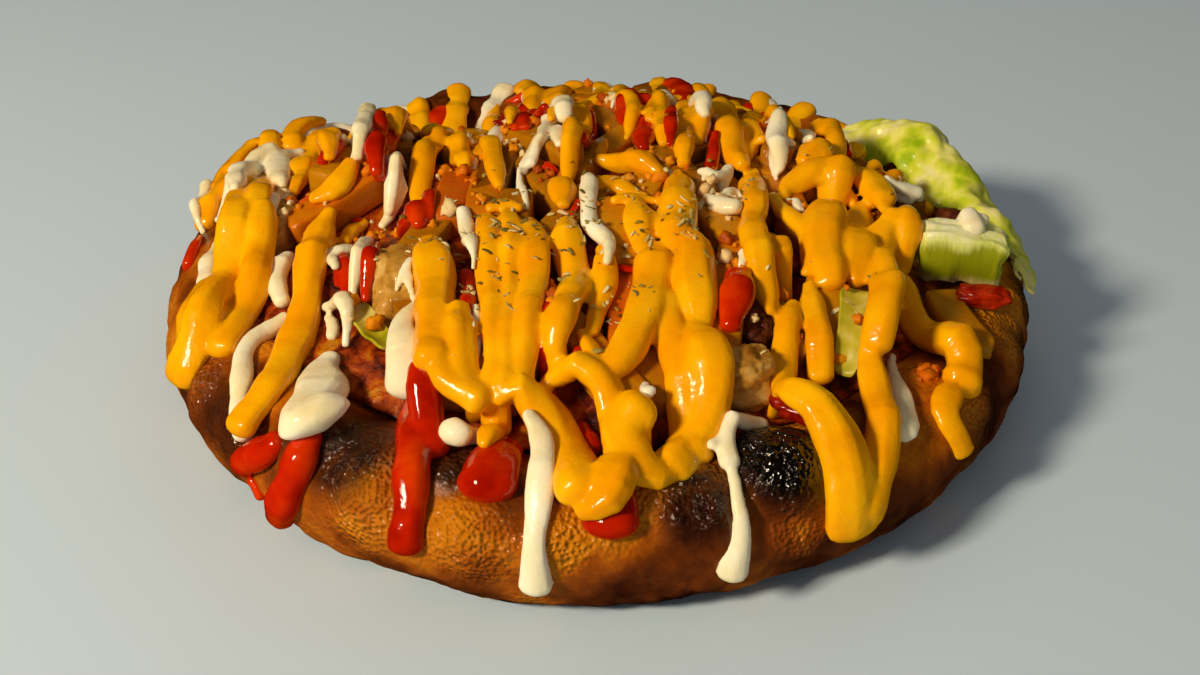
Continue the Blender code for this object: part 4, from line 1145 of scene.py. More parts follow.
@dataclass(frozen=True)
class Dough:
    """The dough base with its puffed, blistered rim."""

    radius: float = 124 * MM
    stretch: float = 1.002
    stretches: tuple[tuple[float, int, float], ...] = ((0.040, 1, 2.05), (0.016, 3, 4.75), (0.004, 7, 0.0))
    tube: float = 17 * MM
    middle: float = 15.5 * MM
    top: float = 32 * MM
    floor: float = 12 * MM
    floor_radius: float = 84 * MM
    first_degrees: float = 165
    last_degrees: float = -71
    steps: int = 460
    cuts: int = 62
    merge: float = 0.01 * MM
    uneven: tuple[tuple[float, float], ...] = ((1.4, 60), (0.8, 140), (0.35, 330))
    blister_sharpness: float = 1.3
    bubbles: int = 130
    bubble_reach: tuple[float, float] = (104, 136)
    bubble_size: tuple[float, float] = (2.5, 8)
    bubble_rise: tuple[float, float] = (0.10, 0.2)
    bubble_sharpness: float = 1.6
    cell: float = 16 * MM
    lump_rate: float = 52
    char_rate: float = 130
    pale_below: float = 13 * MM
    dark_below: float = 6.5 * MM
    most_crisp: float = 3.4

    def rim_radius(self, angle: float) -> float:
        """Outer radius of the crust at an angle, hand stretched and so not quite round."""
        waves = (high * math.cos(times * angle + start) for high, times, start in self.stretches)
        return self.radius * sum(waves, self.stretch)

    def around_rim(self, point: Sequence[float]) -> tuple[Vector, Vector]:
        """Base point and outward direction of the rim at a place on the plan.

        Args:
            point: the place, in metres.

        Returns:
            A point inside the rim and the direction that leads out of it there.
        """
        x, y = point[0], point[1]
        angle = math.atan2(y, x)
        reach = math.hypot(x, y)
        middle = self.rim_radius(angle) - self.tube
        lean = max(0.0, (reach - middle) / self.tube)
        outward = Vector((math.cos(angle), math.sin(angle), 0))
        base = outward * min(reach, middle) + Vector((0, 0, self.middle))
        return base, outward * math.sin(lean) + Vector((0, 0, math.cos(lean)))

    def on_rim(self, x: float, y: float) -> Vector:
        """The point of the bare rim at a place on the plan, in millimetres."""
        base, direction = self.around_rim((x * MM, y * MM))
        return base + direction * self.tube

    def outline(self) -> list[tuple[float, float]]:
        """The section from the middle of the floor, over the rim and round to the base.

        Returns:
            Distances from the middle and heights.
        """
        centre = self.radius - self.tube
        high = self.top - self.middle
        points = [(0, self.floor), (self.floor_radius * 0.5, self.floor + 0.5 * MM)]
        points.append((self.floor_radius, self.floor + MM))
        whole = self.last_degrees - self.first_degrees
        for cut in range(self.cuts + 1):
            turn = math.radians(self.first_degrees + whole * cut / self.cuts)
            points.append((centre + self.tube * math.cos(turn), self.middle + high * math.sin(turn)))
        return points + [(centre + self.tube * 0.29, 0), (centre * 0.8, 0), (centre * 0.4, 0), (0, 0)]

    def swells(self) -> list[Swell]:
        """The large blisters and the many small bubbles.

        Returns:
            Each one's place, size, rise and shape.
        """
        swells = []
        for blister in BLISTERS:
            turn, reach = math.radians(blister.angle), blister.reach
            base, direction = self.around_rim((reach * math.cos(turn), reach * math.sin(turn)))
            place = base + direction * self.tube
            swells.append(Swell(place, blister.radius, blister.swell, self.blister_sharpness))
        draw = random.Random(SEED + 5)
        for _ in range(self.bubbles):
            angle = draw.uniform(0, 360)
            x, y = (draw.uniform(*self.bubble_reach) * part for part in (math.cos(angle), math.sin(angle)))
            size = draw.uniform(*self.bubble_size) * MM
            rise = size * draw.uniform(*self.bubble_rise)
            swells.append(Swell(self.on_rim(x, y), size, rise, self.bubble_sharpness))
        return swells

    def cell_of(self, point: Vector) -> tuple[int, int]:
        """The cell of a grid over the plan that a point is in."""
        return int(point.x // self.cell), int(point.y // self.cell)

    def build(self) -> bpy.types.Object:
        """Turns the crust, stretches it out of round and raises its bubbles.

        Returns:
            The crust.
        """
        crust = turned("dough_crust", self.outline(), self.steps, self.merge)
        face_out(crust)
        grid: dict[tuple[int, int], list[Swell]] = {}
        for swell in self.swells():
            column, row = self.cell_of(swell.centre)
            for cell in ((column + across, row + along) for across in (-1, 0, 1) for along in (-1, 0, 1)):
                grid.setdefault(cell, []).append(swell)

        def stretched(point: Vector) -> Vector:
            """Where a point of the round, even crust ends up."""
            if math.hypot(point.x, point.y) <= self.floor_radius + MM:
                return point
            point.xy = point.xy * (self.rim_radius(math.atan2(point.y, point.x)) / self.radius)
            if point.z <= 0.5 * MM:
                return point
            base, _ = self.around_rim(point.xy)
            outward = (point - base).normalized()
            push = 0.0
            for high, rate in self.uneven:
                push += high * MM * noise.noise(point * rate)
            for swell in grid.get(self.cell_of(point), ()):
                near = 1 - ((point - swell.centre).length / swell.radius) ** 2
                if near > 0:
                    push += swell.rise * near**swell.sharpness
            return point + outward * (push * min(1.0, point.z / (3 * MM)))

        mould(crust, stretched)
        self.brown(crust)
        return crust

    def brown(self, crust: bpy.types.Object) -> None:
        """Writes where the crust is golden, with painted shade towards its right side, scorched and crisp.

        Args:
            crust: the shaped crust.
        """
        spots = [(self.on_rim(scorch.x, scorch.y), scorch) for scorch in SCORCHES]
        grits = [(self.on_rim(x, y), spread * MM) for x, y, spread in GRITTY]

        def lumpy(point: Vector) -> float:
            """How far the crust is puffed at a point, where it also browns and crisps."""
            return noise.noise(point * self.lump_rate + Vector((3, 1, 7)))

        def gritty(point: Vector) -> float:
            """How near a point is to a gritty place."""
            return max(0.0, *(1 - (point - place).length / spread for place, spread in grits))

        def golden(point: Vector) -> float:
            """How golden a point is: less so low down, and less towards the right, which is painted shade on
            the side away from the key light.
            """
            # painted shade: the golden share falls towards the right, the crust's side turned from the key
            # light
            side = 0.5 + 0.5 * point.x / self.radius
            low = max(0.0, 1 - point.z / self.pale_below)
            return 0.22 + 0.50 * max(-0.4, lumpy(point)) - 0.06 * side - 0.04 * low + 0.34 * gritty(point)

        def scorched(point: Vector) -> float:
            """How dark a point is: along the base and on the scorches."""
            shade = max(0.0, 1 - point.z / self.dark_below)
            shade *= 0.75 + 1.1 * noise.noise(point * self.char_rate)
            for place, scorch in spots:
                near = 1 - (point - place).length / (scorch.radius * MM * 1.25)
                if near > 0:
                    shade = max(shade, scorch.depth * min(1.0, near * 2.1))
            return shade

        def crisp(point: Vector) -> float:
            """How rough a point is with fine bubbles."""
            burnt = 2.6 * max(0.0, scorched(point) - 0.35)
            puffed = max(0.0, 0.15 + 2.2 * lumpy(point))
            return min(self.most_crisp, puffed + burnt + 5.0 * gritty(point))

        paint_points(crust, "golden", golden)
        paint_points(crust, "scorch", scorched)
        paint_points(crust, "crisp", crisp)


@dataclass(frozen=True)
class Heap:
    """The body of the heap, under the pieces that show."""

    dough: Dough
    radius: float = 99 * MM
    side: float = 31 * MM
    top: float = 48 * MM
    tier_spacing: float = 44 * MM
    tier_height: float = 3.5 * MM
    tier_front: float = 36 * MM
    lump: float = 2.5 * MM
    lump_rate: float = 38
    spills: tuple[tuple[float, float, float], ...] = ((170, 36, 16), (262, 42, 5))
    crumbs: tuple[tuple[float, float, float], ...] = ((0.9, 1, 190), (0.7, 2, 420))
    room: float = 0.8 * MM
    steps: int = 180
    rings: int = 60
    merge: float = MM
    foot: tuple[tuple[float, float], ...] = (
        (0.97, 0.78),
        (0.94, 0.55),
        (0.90, 0.36),
        (0.86, 0.2),
        (0.76, 0),
        (0.4, 0),
        (0, 0),
    )

    def reach(self, angle: float) -> float:
        """How far out the filling comes at an angle: it spills over the rim on the left and in front.

        Args:
            angle: the angle round the middle, in radians.

        Returns:
            The distance from the middle.
        """
        degrees = math.degrees(angle) % 360
        reach = self.radius
        for middle, spread, out in self.spills:
            reach += out * MM * math.exp(-(((degrees - middle) / spread) ** 2))
        return reach

    def height(self, x: float, y: float) -> float:
        """Height of the bare heap: a low dome with three soft tiers across it.

        Args:
            x: the place's distance to the right of the middle.
            y: the place's distance behind the middle.

        Returns:
            The height above the table.
        """
        share = min(1.0, math.hypot(x, y) / self.reach(math.atan2(y, x)))
        dome = self.side + (self.top - self.side) * (1 - share**2.6)
        tiers = self.tier_height * math.cos(math.tau * (y + self.tier_front) / self.tier_spacing)
        lumps = self.lump * noise.noise(Vector((x, y, 0)) * self.lump_rate)
        sunk = 0.0
        for hollow in HOLLOWS:
            away = math.hypot(x / MM - hollow.x, y / MM - hollow.y) / hollow.radius
            sunk += hollow.depth * MM * math.exp(-(away**2))
        return dome + (tiers + lumps) * (1 - share**3) - sunk

    def build(self) -> bpy.types.Object:
        """Makes the core, with a crumbly top.

        Returns:
            The core.
        """
        outline = [(i / self.rings, 1.0) for i in range(self.rings + 1)]
        core = turned("filling_core", (*outline, *self.foot), self.steps, self.merge)
        low = self.dough.floor + MM + self.room

        def heaped(point: Vector) -> Vector:
            """Where a point of the unit disc ends up."""
            x, y, level = point
            reach = self.reach(math.atan2(y, x))
            x, y = x * reach, y * reach
            crumbs = sum(high * MM * noise.noise(Vector((x, y, z)) * rate) for high, z, rate in self.crumbs)
            top = self.height(x, y) + crumbs
            return Vector((x, y, low + (top - low) * level))

        mould(core, heaped)
        face_out(core)
        return core


@dataclass(frozen=True)
class Chips:
    """The fried chips in the heap."""

    heap: Heap
    thickness: float = 9.5 * MM
    flatness: float = 0.94
    shortest: float = 30 * MM
    longest: float = 44 * MM
    rows: int = 8
    spacing: float = 23 * MM
    pitch: float = 13.5 * MM
    edge: float = 8 * MM
    row_drift: float = 4
    drift: float = 3
    skipped: float = 0.42
    overhang: float = 0.3
    turn: float = 40
    lift: float = 3.5
    bend: float = 1.6
    skew: float = 0.9
    wear: float = 0.45

    def place(self, chip: Chip) -> Matrix:
        """Where a chip lies: along the slope of the heap under its two ends.

        Args:
            chip: the chip.

        Returns:
            The move from the middle of the plan to there.
        """
        turn = math.radians(chip.turn)
        along = Vector((math.cos(turn), math.sin(turn))) * chip.length * MM / 2
        middle = Vector((chip.x, chip.y)) * MM
        low = self.heap.height(*(middle - along))
        high = self.heap.height(*(middle + along))
        pitch = math.atan2(high - low, chip.length * MM)
        height = max(self.heap.height(*middle), (low + high) / 2) + chip.lift * MM
        return Matrix.Translation((*middle, height)) @ Euler((0, -pitch, turn)).to_matrix().to_4x4()

    def scattered(self) -> list[Chip]:
        """The chips besides those that show in front, in rows across the heap.

        Returns:
            The chips, from front to back.
        """
        draw = random.Random(SEED)
        radius = self.heap.radius
        chips = []
        for row in range(self.rows):
            y = (row - (self.rows - 1) / 2) * self.spacing
            y += draw.uniform(-self.row_drift, self.row_drift) * MM
            half = radius**2 - y * y
            across = math.sqrt(half) - self.edge if half > 0 else 0
            for step in range(int(2 * across / self.pitch)):
                if draw.random() < self.skipped:
                    continue
                x = -across + (step + 0.5) * self.pitch + draw.uniform(-self.drift, self.drift) * MM
                length = draw.uniform(self.shortest, self.longest)
                if radius - math.hypot(x, y) - self.overhang * length < 0:
                    continue
                turn = 90 + draw.uniform(-self.turn, self.turn)
                chips.append(Chip(x / MM, y / MM, length / MM, turn, draw.uniform(0, self.lift)))
        return chips

    def build(self) -> bpy.types.Object:
        """Cuts one chip and lays a bent copy of it at every place.

        Returns:
            All the chips.
        """
        chip = taken(block(0.12, 2, 2))
        draw = random.Random(SEED + 6)
        shape = Shape()
        for number, laid in enumerate((*SHOWN_CHIPS, *self.scattered())):
            place = self.place(laid)
            size = Vector((laid.length * MM, self.thickness, self.thickness * self.flatness))
            bend = draw.uniform(-self.bend, self.bend) * MM
            skew = draw.uniform(-self.skew, self.skew) * MM
            bit = []
            for point in chip.points:
                spot = Vector(part * side for part, side in zip(point, size))
                spot.z += bend * (0.25 - point.x * point.x) * 2
                spot.y += skew * math.sin(point.x * 4)
                rough = noise.noise_vector(spot * 160 + Vector((number, 0, 0))) * self.wear * MM
                bit.append(place @ (spot + rough))
            shape.take(bit, chip.faces, draw.random())
        return shape.piece("fried_chips", "tint")


@dataclass(frozen=True)
class Bits:
    """Small things in the heap: diced salad, and crumbs that came off the fried pieces."""

    heap: Heap
    dice: int = 12
    dice_size: float = 7 * MM
    dice_sides: tuple[float, float, float] = (1, 0.9, 0.8)
    dice_reach: float = 0.9
    dice_lift: float = 0.3
    dice_wear: float = 0.8
    dice_tints: tuple[float, ...] = (0.05, 0.3, 0.7, 0.95)
    crumbs: int = 560
    crumb_reach: float = 0.96
    crumb_lift: float = 0.15
    crumb_wear: float = 0.9
    crumb_tints: tuple[float, ...] = (0.15, 0.4, 0.5, 0.6, 0.62, 0.95)
    clustered: float = 0.5
    cluster_share: float = 0.6
    cluster_tint: float = 0.08
    smallest: float = 1.3 * MM
    largest: float = 4.2 * MM
    ray: float = 150 * MM

    def build_dice(self) -> bpy.types.Object:
        """Cuts one dice and lays a worn copy at every place.

        Returns:
            All the dice.
        """
        cube = taken(block(0.2, 3, 1))
        draw = random.Random(SEED + 1)
        tint = random.Random(SEED + 7)
        size = Vector(self.dice_size * share for share in self.dice_sides)
        shape = Shape()
        for number in range(self.dice):
            x, y = spot_within(draw, self.heap.radius * self.dice_reach)
            turn = tossed(draw).to_4x4()
            height = self.heap.height(x, y) + self.dice_lift * self.dice_size
            place = Matrix.Translation((x, y, height)) @ turn
            bit = []
            for point in cube.points:
                spot = Vector(part * side for part, side in zip(point, size))
                rough = noise.noise_vector(spot * 220 + Vector((number, 0, 0))) * self.dice_wear * MM
                bit.append(place @ (spot + rough))
            shape.take(bit, cube.faces, tint.choice(self.dice_tints))
        return shape.piece("diced_salad", "tint")

    def build_crumbs(self, dough: Dough, tree: BVHTree) -> bpy.types.Object:
        """Scatters craggy crumbs over what the sauces have not covered yet.

        Args:
            dough: gives the plan's directions.
            tree: what the crumbs fall on.

        Returns:
            All the crumbs.
        """
        crumb = taken(ball(2))
        draw = random.Random(SEED + 8)
        shape = Shape()
        for number in range(self.crumbs):
            x, y = spot_within(draw, self.heap.radius * self.crumb_reach)
            size = self.smallest + (self.largest - self.smallest) * draw.random() ** 2
            tint = draw.choice(self.crumb_tints)
            if draw.random() < self.clustered:
                cluster = draw.choice(CLUSTERS)
                spread = cluster.spread * self.cluster_share
                x, y = draw.gauss(cluster.x, spread) * MM, draw.gauss(cluster.y, spread) * MM
                tint = cluster.tint + draw.uniform(-self.cluster_tint, self.cluster_tint)
            base, direction = dough.around_rim((x, y))
            hit = tree.ray_cast(base + direction * self.ray, -direction)[0]
            turn = Euler([draw.uniform(0, 3) for _ in range(3)]).to_matrix()
            if hit is None:
                continue
            bit = []
            for point in crumb.points:
                crag = 1 + self.crumb_wear * noise.noise(point * 3.5 + Vector((number, 0, 0)))
                bit.append(hit + direction * size * self.crumb_lift + turn @ (point * size * crag))
            shape.take(bit, crumb.faces, tint)
        return shape.piece("fried_crumbs", "tint")


@dataclass(frozen=True)
class Toppings:
    """The pieces large enough to stand alone: burger, chicken and tomato."""

    heap: Heap
    dough: Dough
    cuts: int = 5
    squareness: float = 0.7
    lumps: float = 0.22
    tomato_crags: float = 0.3

    def build(self, chunk: Chunk) -> bpy.types.Object:
        """Shapes one piece: a rounded lump with an uneven, craggy skin.

        Args:
            chunk: what the piece is, where it lies and how big it is.

        Returns:
            The piece, named for what it is.
        """
        made = ball(self.cuts)
        made.name = chunk.name + "_piece"
        made.data.name = made.name
        offset = Vector((chunk.x, chunk.y, 0))
        crags = self.tomato_crags if chunk.name.startswith("tomato") else 1.0
        size = Matrix.Diagonal((*[side * MM for side in chunk.size], 1))
        turn = Euler((math.radians(-chunk.tilt), 0, math.radians(chunk.turn))).to_matrix().to_4x4()
        x, y = chunk.x * MM, chunk.y * MM
        ground = max(self.heap.height(x, y), self.dough.top if math.hypot(x, y) > self.heap.radius else 0)
        place = Matrix.Translation((x, y, ground + chunk.lift * MM)) @ turn @ size

        def lumpy(point: Vector) -> Vector:
            """Where a point of the ball ends up."""
            squared = Vector([math.copysign(abs(part * 2) ** self.squareness, part) / 2 for part in point])
            fine = 0.07 * noise.noise(point * 11 + offset) + 0.05 * noise.noise(point * 24 + offset)
            return place @ (squared * (1 + self.lumps * noise.noise(point * 4 + offset) + crags * fine))

        mould(made, lumpy)
        face_out(made)
        return made


@dataclass(frozen=True)
class Sauces:
    """The squeezed sauces, laid one over another."""

    dough: Dough
    fine: float = 2.5 * MM
    curve_steps: int = 20
    sides: int = 18
    sag: float = 0.25 * MM
    rounds: int = 40
    thickest: float = 4.4 * MM
    flatness: float = 0.40
    sink: float = 0.35
    side_share: float = 0.3
    end_stations: float = 1.8
    cap_turns: tuple[float, ...] = (0.45, 0.85, 1.2)
    cap_length: float = 0.62
    tip_length: float = 0.64
    ray: float = 150 * MM
    lowest: float = 0.4 * MM
    lane_first: float = -84
    lane_last: float = 86
    lane_back: float = 108
    lane_front: float = 62
    lane_sway: float = 3.5
    lane_shortest: float = 12
    fill_radius: float = 92
    fill_shortest: float = 14
    spilled: float = 97
    settle: float = 3.4 * MM
    settle_from: float = 30 * MM
    settle_over: float = 26 * MM
    settle_edge: float = 112 * MM
    settle_ease: float = 8 * MM
    voxel: float = 0.7 * MM
    most_faces: int = 190000

    def height_over(self, tree: BVHTree, base: Vector, direction: Vector) -> float:
        """How far along a direction from a base point the outermost surface is."""
        hit = tree.ray_cast(base + direction * self.ray, -direction)[0]
        return (hit - base).dot(direction) if hit else self.dough.tube

    def traced(self, places: Sequence[tuple[float, float]]) -> list[Vector]:
        """Draws a smooth line through some places on the plan.

        Args:
            places: the places, in millimetres.

        Returns:
            Evenly spaced points along the line, in metres.
        """
        ends = [Vector(place) * MM for place in places]
        ends = [ends[0] * 2 - ends[1], *ends, ends[-1] * 2 - ends[-2]]
        dense = []
        for before, start, end, after in zip(ends, ends[1:], ends[2:], ends[3:]):
            for step in range(self.curve_steps):
                t = step / self.curve_steps
                linear_part = (end - before) * t
                square_part = (2 * before - 5 * start + 4 * end - after) * t * t
                cube_part = (3 * start - before - 3 * end + after) * t**3
                dense.append(0.5 * (2 * start + linear_part + square_part + cube_part))
        dense.append(ends[-2])
        points = [dense[0]]
        for point in dense[1:]:
            while (point - points[-1]).length >= self.fine:
                points.append(points[-1] + (point - points[-1]).normalized() * self.fine)
        return points

    def settling(self, point: Vector) -> float:
        """How much deeper a line lies between the bits at the far side of the heap.

        Args:
            point: a place on the plan.

        Returns:
            The depth there.
        """
        behind = min(1.0, max(0.0, (point.y - self.settle_from) / self.settle_over))
        inside = min(1.0, max(0.0, (self.settle_edge - point.length) / self.settle_ease))
        return self.settle * behind * inside

    def highest_under(self, tree: BVHTree, points: list[Vector], width: float) -> list[float]:
        """How high the ground is at points along a line: the highest under its middle and its two sides.

        Args:
            tree: the ground.
            points: places on the plan, in order along the line.
            width: how wide the line is.

        Returns:
            The height at each point, measured out from the rim's base point.
        """
        heights = []
        for i, point in enumerate(points):
            along = (points[min(i + 1, len(points) - 1)] - points[max(i - 1, 0)]).normalized()
            aside = Vector((-along.y, along.x)) * width * self.side_share
            spots = (point, point + aside, point - aside)
            heights.append(max(self.height_over(tree, *self.dough.around_rim(spot)) for spot in spots))
        return heights

    def laid(self, run: Run, tree: BVHTree, number: int, flow: Flow) -> list[Station]:
        """Lays a run on what a tree holds, bridging the gaps as thick sauce does.

        Args:
            run: where the line goes and how wide it is.
            tree: the ground.
            number: the line's number, which makes its unevenness its own.
            flow: how the sauce flows.

        Returns:
            The cuts through the line, from its start to its end.
        """
        points = self.traced(run.places)
        for i in range(1, len(points) - 1):
            along = (points[i + 1] - points[i - 1]).normalized()
            drift = flow.sway * noise.noise(Vector((i * 0.17, number * 3.1, 2.5)))
            points[i] = points[i] + Vector((-along.y, along.x)) * drift
        bases = [self.dough.around_rim(point) for point in points]
        ground = self.highest_under(tree, points, (run.width + run.end_width) / 2 * MM)
        heights = list(ground)
        for _ in range(self.rounds):
            for i in range(1, len(heights) - 1):
                heights[i] = max(ground[i], (heights[i - 1] + heights[i + 1]) / 2 - self.sag)
        stations = []
        end_change = flow.bulb if math.hypot(*run.places[-1]) > self.spilled else -flow.taper
        for i, (base, direction) in enumerate(bases):
            share = i / max(1, len(bases) - 1)
            wobble = 1 + flow.wobble * noise.noise(Vector((i * 0.3, number * 7.3, 0.5)))
            wobble -= flow.taper * math.exp(-((i / self.end_stations) ** 2))
            wobble += math.exp(-(((len(bases) - 1 - i) / self.end_stations) ** 2)) * end_change
            wide = (run.width + (run.end_width - run.width) * share) * flow.slim * MM / 2 * wobble
            high = min(self.flatness * wide * 2, self.thickest)
            rise = heights[i] + self.sink * high - self.settling(points[i])
            stations.append(Station(base + direction * rise, direction, wide, high))
        return stations

    def tube(self, stations: list[Station], number: int, flow: Flow) -> Shape:
        """Wraps a grooved skin round a run's stations and rounds its ends off.

        Args:
            stations: the cuts through the line.
            number: the line's number, which makes its grooves its own.
            flow: how the sauce flows.

        Returns:
            The skin.
        """
        middles = [station.middle for station in stations]
        rings = []
        for i, station in enumerate(stations):
            along = (middles[min(i + 1, len(middles) - 1)] - middles[max(i - 1, 0)]).normalized()
            rings.append((station, along, 1.0, 0.0))
        caps = [(math.cos(turn), self.cap_length * math.sin(turn)) for turn in self.cap_turns]
        (first, first_along, *_), (last, last_along, *_) = rings[0], rings[-1]
        rings = [(first, first_along, size, -out) for size, out in reversed(caps)] + rings
        rings += [(last, last_along, size, out) for size, out in caps]
        points = []
        for row, (station, along, size, out) in enumerate(rings):
            rise = (station.rise - along * station.rise.dot(along)).normalized()
            across = along.cross(rise)
            centre = station.middle + along * station.wide * out
            for side in range(self.sides):
                turn = math.tau * side / self.sides
                spot = across * math.cos(turn) * station.wide + rise * math.sin(turn) * station.high
                round_about = Vector((math.cos(turn) * 1.5, math.sin(turn) * 1.5, number * 5.3 + row * 0.07))
                points.append(centre + spot * size * (1 + flow.groove * noise.noise(round_about)))
        points.append(first.middle + first_along * first.wide * -self.tip_length)
        points.append(last.middle + last_along * last.wide * self.tip_length)
        for point in points:
            point.z = max(point.z, self.lowest)
        faces: list[Sequence[int]] = []
        tip, end, top = len(points) - 2, len(points) - 1, (len(rings) - 1) * self.sides
        around = [(side, (side + 1) % self.sides) for side in range(self.sides)]
        for low in range(0, top, self.sides):
            high = low + self.sides
            faces += [(low + side, low + beside, high + beside, high + side) for side, beside in around]
        for side, beside in around:
            faces += [(tip, beside, side), (end, top + side, top + beside)]
        skin = Shape()
        skin.take(points, faces)
        return skin

    def behind(self, spacing: float, width: float, seed: int) -> tuple[Run, ...]:
        """Lines over the far side, from outside the back rim up to the third tier.

        Args:
            spacing: how far apart the lines are, in millimetres.
            width: how wide they are, in millimetres.
            seed: starts the draws.

        Returns:
            The lines, from left to right.
        """
        draw = random.Random(SEED + seed)
        runs = []
        x = self.lane_first + draw.uniform(0, spacing)
        while x < self.lane_last:
            back = math.sqrt(max(0.0, (self.lane_back + draw.uniform(-9, 4)) ** 2 - x * x))
            front = self.lane_front + draw.uniform(-2, 10)
            shift = draw.uniform(-self.lane_sway, self.lane_sway)
            end = width + draw.uniform(-2, 2)
            if back > front + self.lane_shortest:
                middle = (back + front) / 2
                runs.append(Run(width, end, ((x, front), (x + shift, middle), (x - shift, back))))
            x += spacing * draw.uniform(0.75, 1.25)
        return tuple(runs)

    def between(self, spacing: float, width: float, seed: int) -> tuple[Run, ...]:
        """Finer lines over the third tier, that fill what the others leave bare.

        Args:
            spacing: how far apart the lines are, in millimetres.
            width: how wide they are, in millimetres.
            seed: starts the draws.

        Returns:
            The lines, from left to right.
        """
        draw = random.Random(SEED + seed)
        runs = []
        x = self.lane_first - 6 + draw.uniform(0, spacing)
        while x < self.lane_last - 8:
            edge = math.sqrt(max(0.0, self.fill_radius**2 - x * x))
            back, front = min(edge, draw.uniform(52, 70)), draw.uniform(-2, 20)
            middle, shift = (back + front) / 2, draw.uniform(-1, 1) * self.lane_sway
            if back > front + self.fill_shortest:
                end = width * draw.uniform(0.7, 1.1)
                runs.append(Run(width, end, ((x - shift, back), (x + shift, middle), (x, front))))
            x += spacing * draw.uniform(0.7, 1.3)
        return tuple(runs)

    def layer(self, runs: Sequence[Run], flow: Flow, ground: Shape, lines: Shape) -> None:
        """Lays runs on the ground that was there before the layer, and adds them to the ground.

        Args:
            runs: the lines of the layer.
            flow: how the sauce flows.
            ground: all that lies there so far.
            lines: the skins of the sauce's lines, which the layer joins too.
        """
        tree = ground.tree()
        made = Shape()
        for number, run in enumerate(runs):
            made.join(self.tube(self.laid(run, tree, number, flow), number, flow))
        ground.join(made)
        lines.join(made)

    def flowed(self, shape: Shape, name: str) -> bpy.types.Object:
        """Runs the lines of one sauce together where they touch, as thick sauce does.

        Args:
            shape: the skins of its lines.
            name: the piece's name.

        Returns:
            The finished piece.
        """
        made = shape.piece(name)
        worked(made, "REMESH", mode="VOXEL", voxel_size=self.voxel)
        worked(made, "SMOOTH", factor=0.5, iterations=1)
        faces = sum(len(face.vertices) - 2 for face in made.data.polygons)
        if faces > self.most_faces:
            worked(made, "DECIMATE", ratio=self.most_faces / faces)
        only(made)
        bpy.ops.object.shade_smooth()
        return made


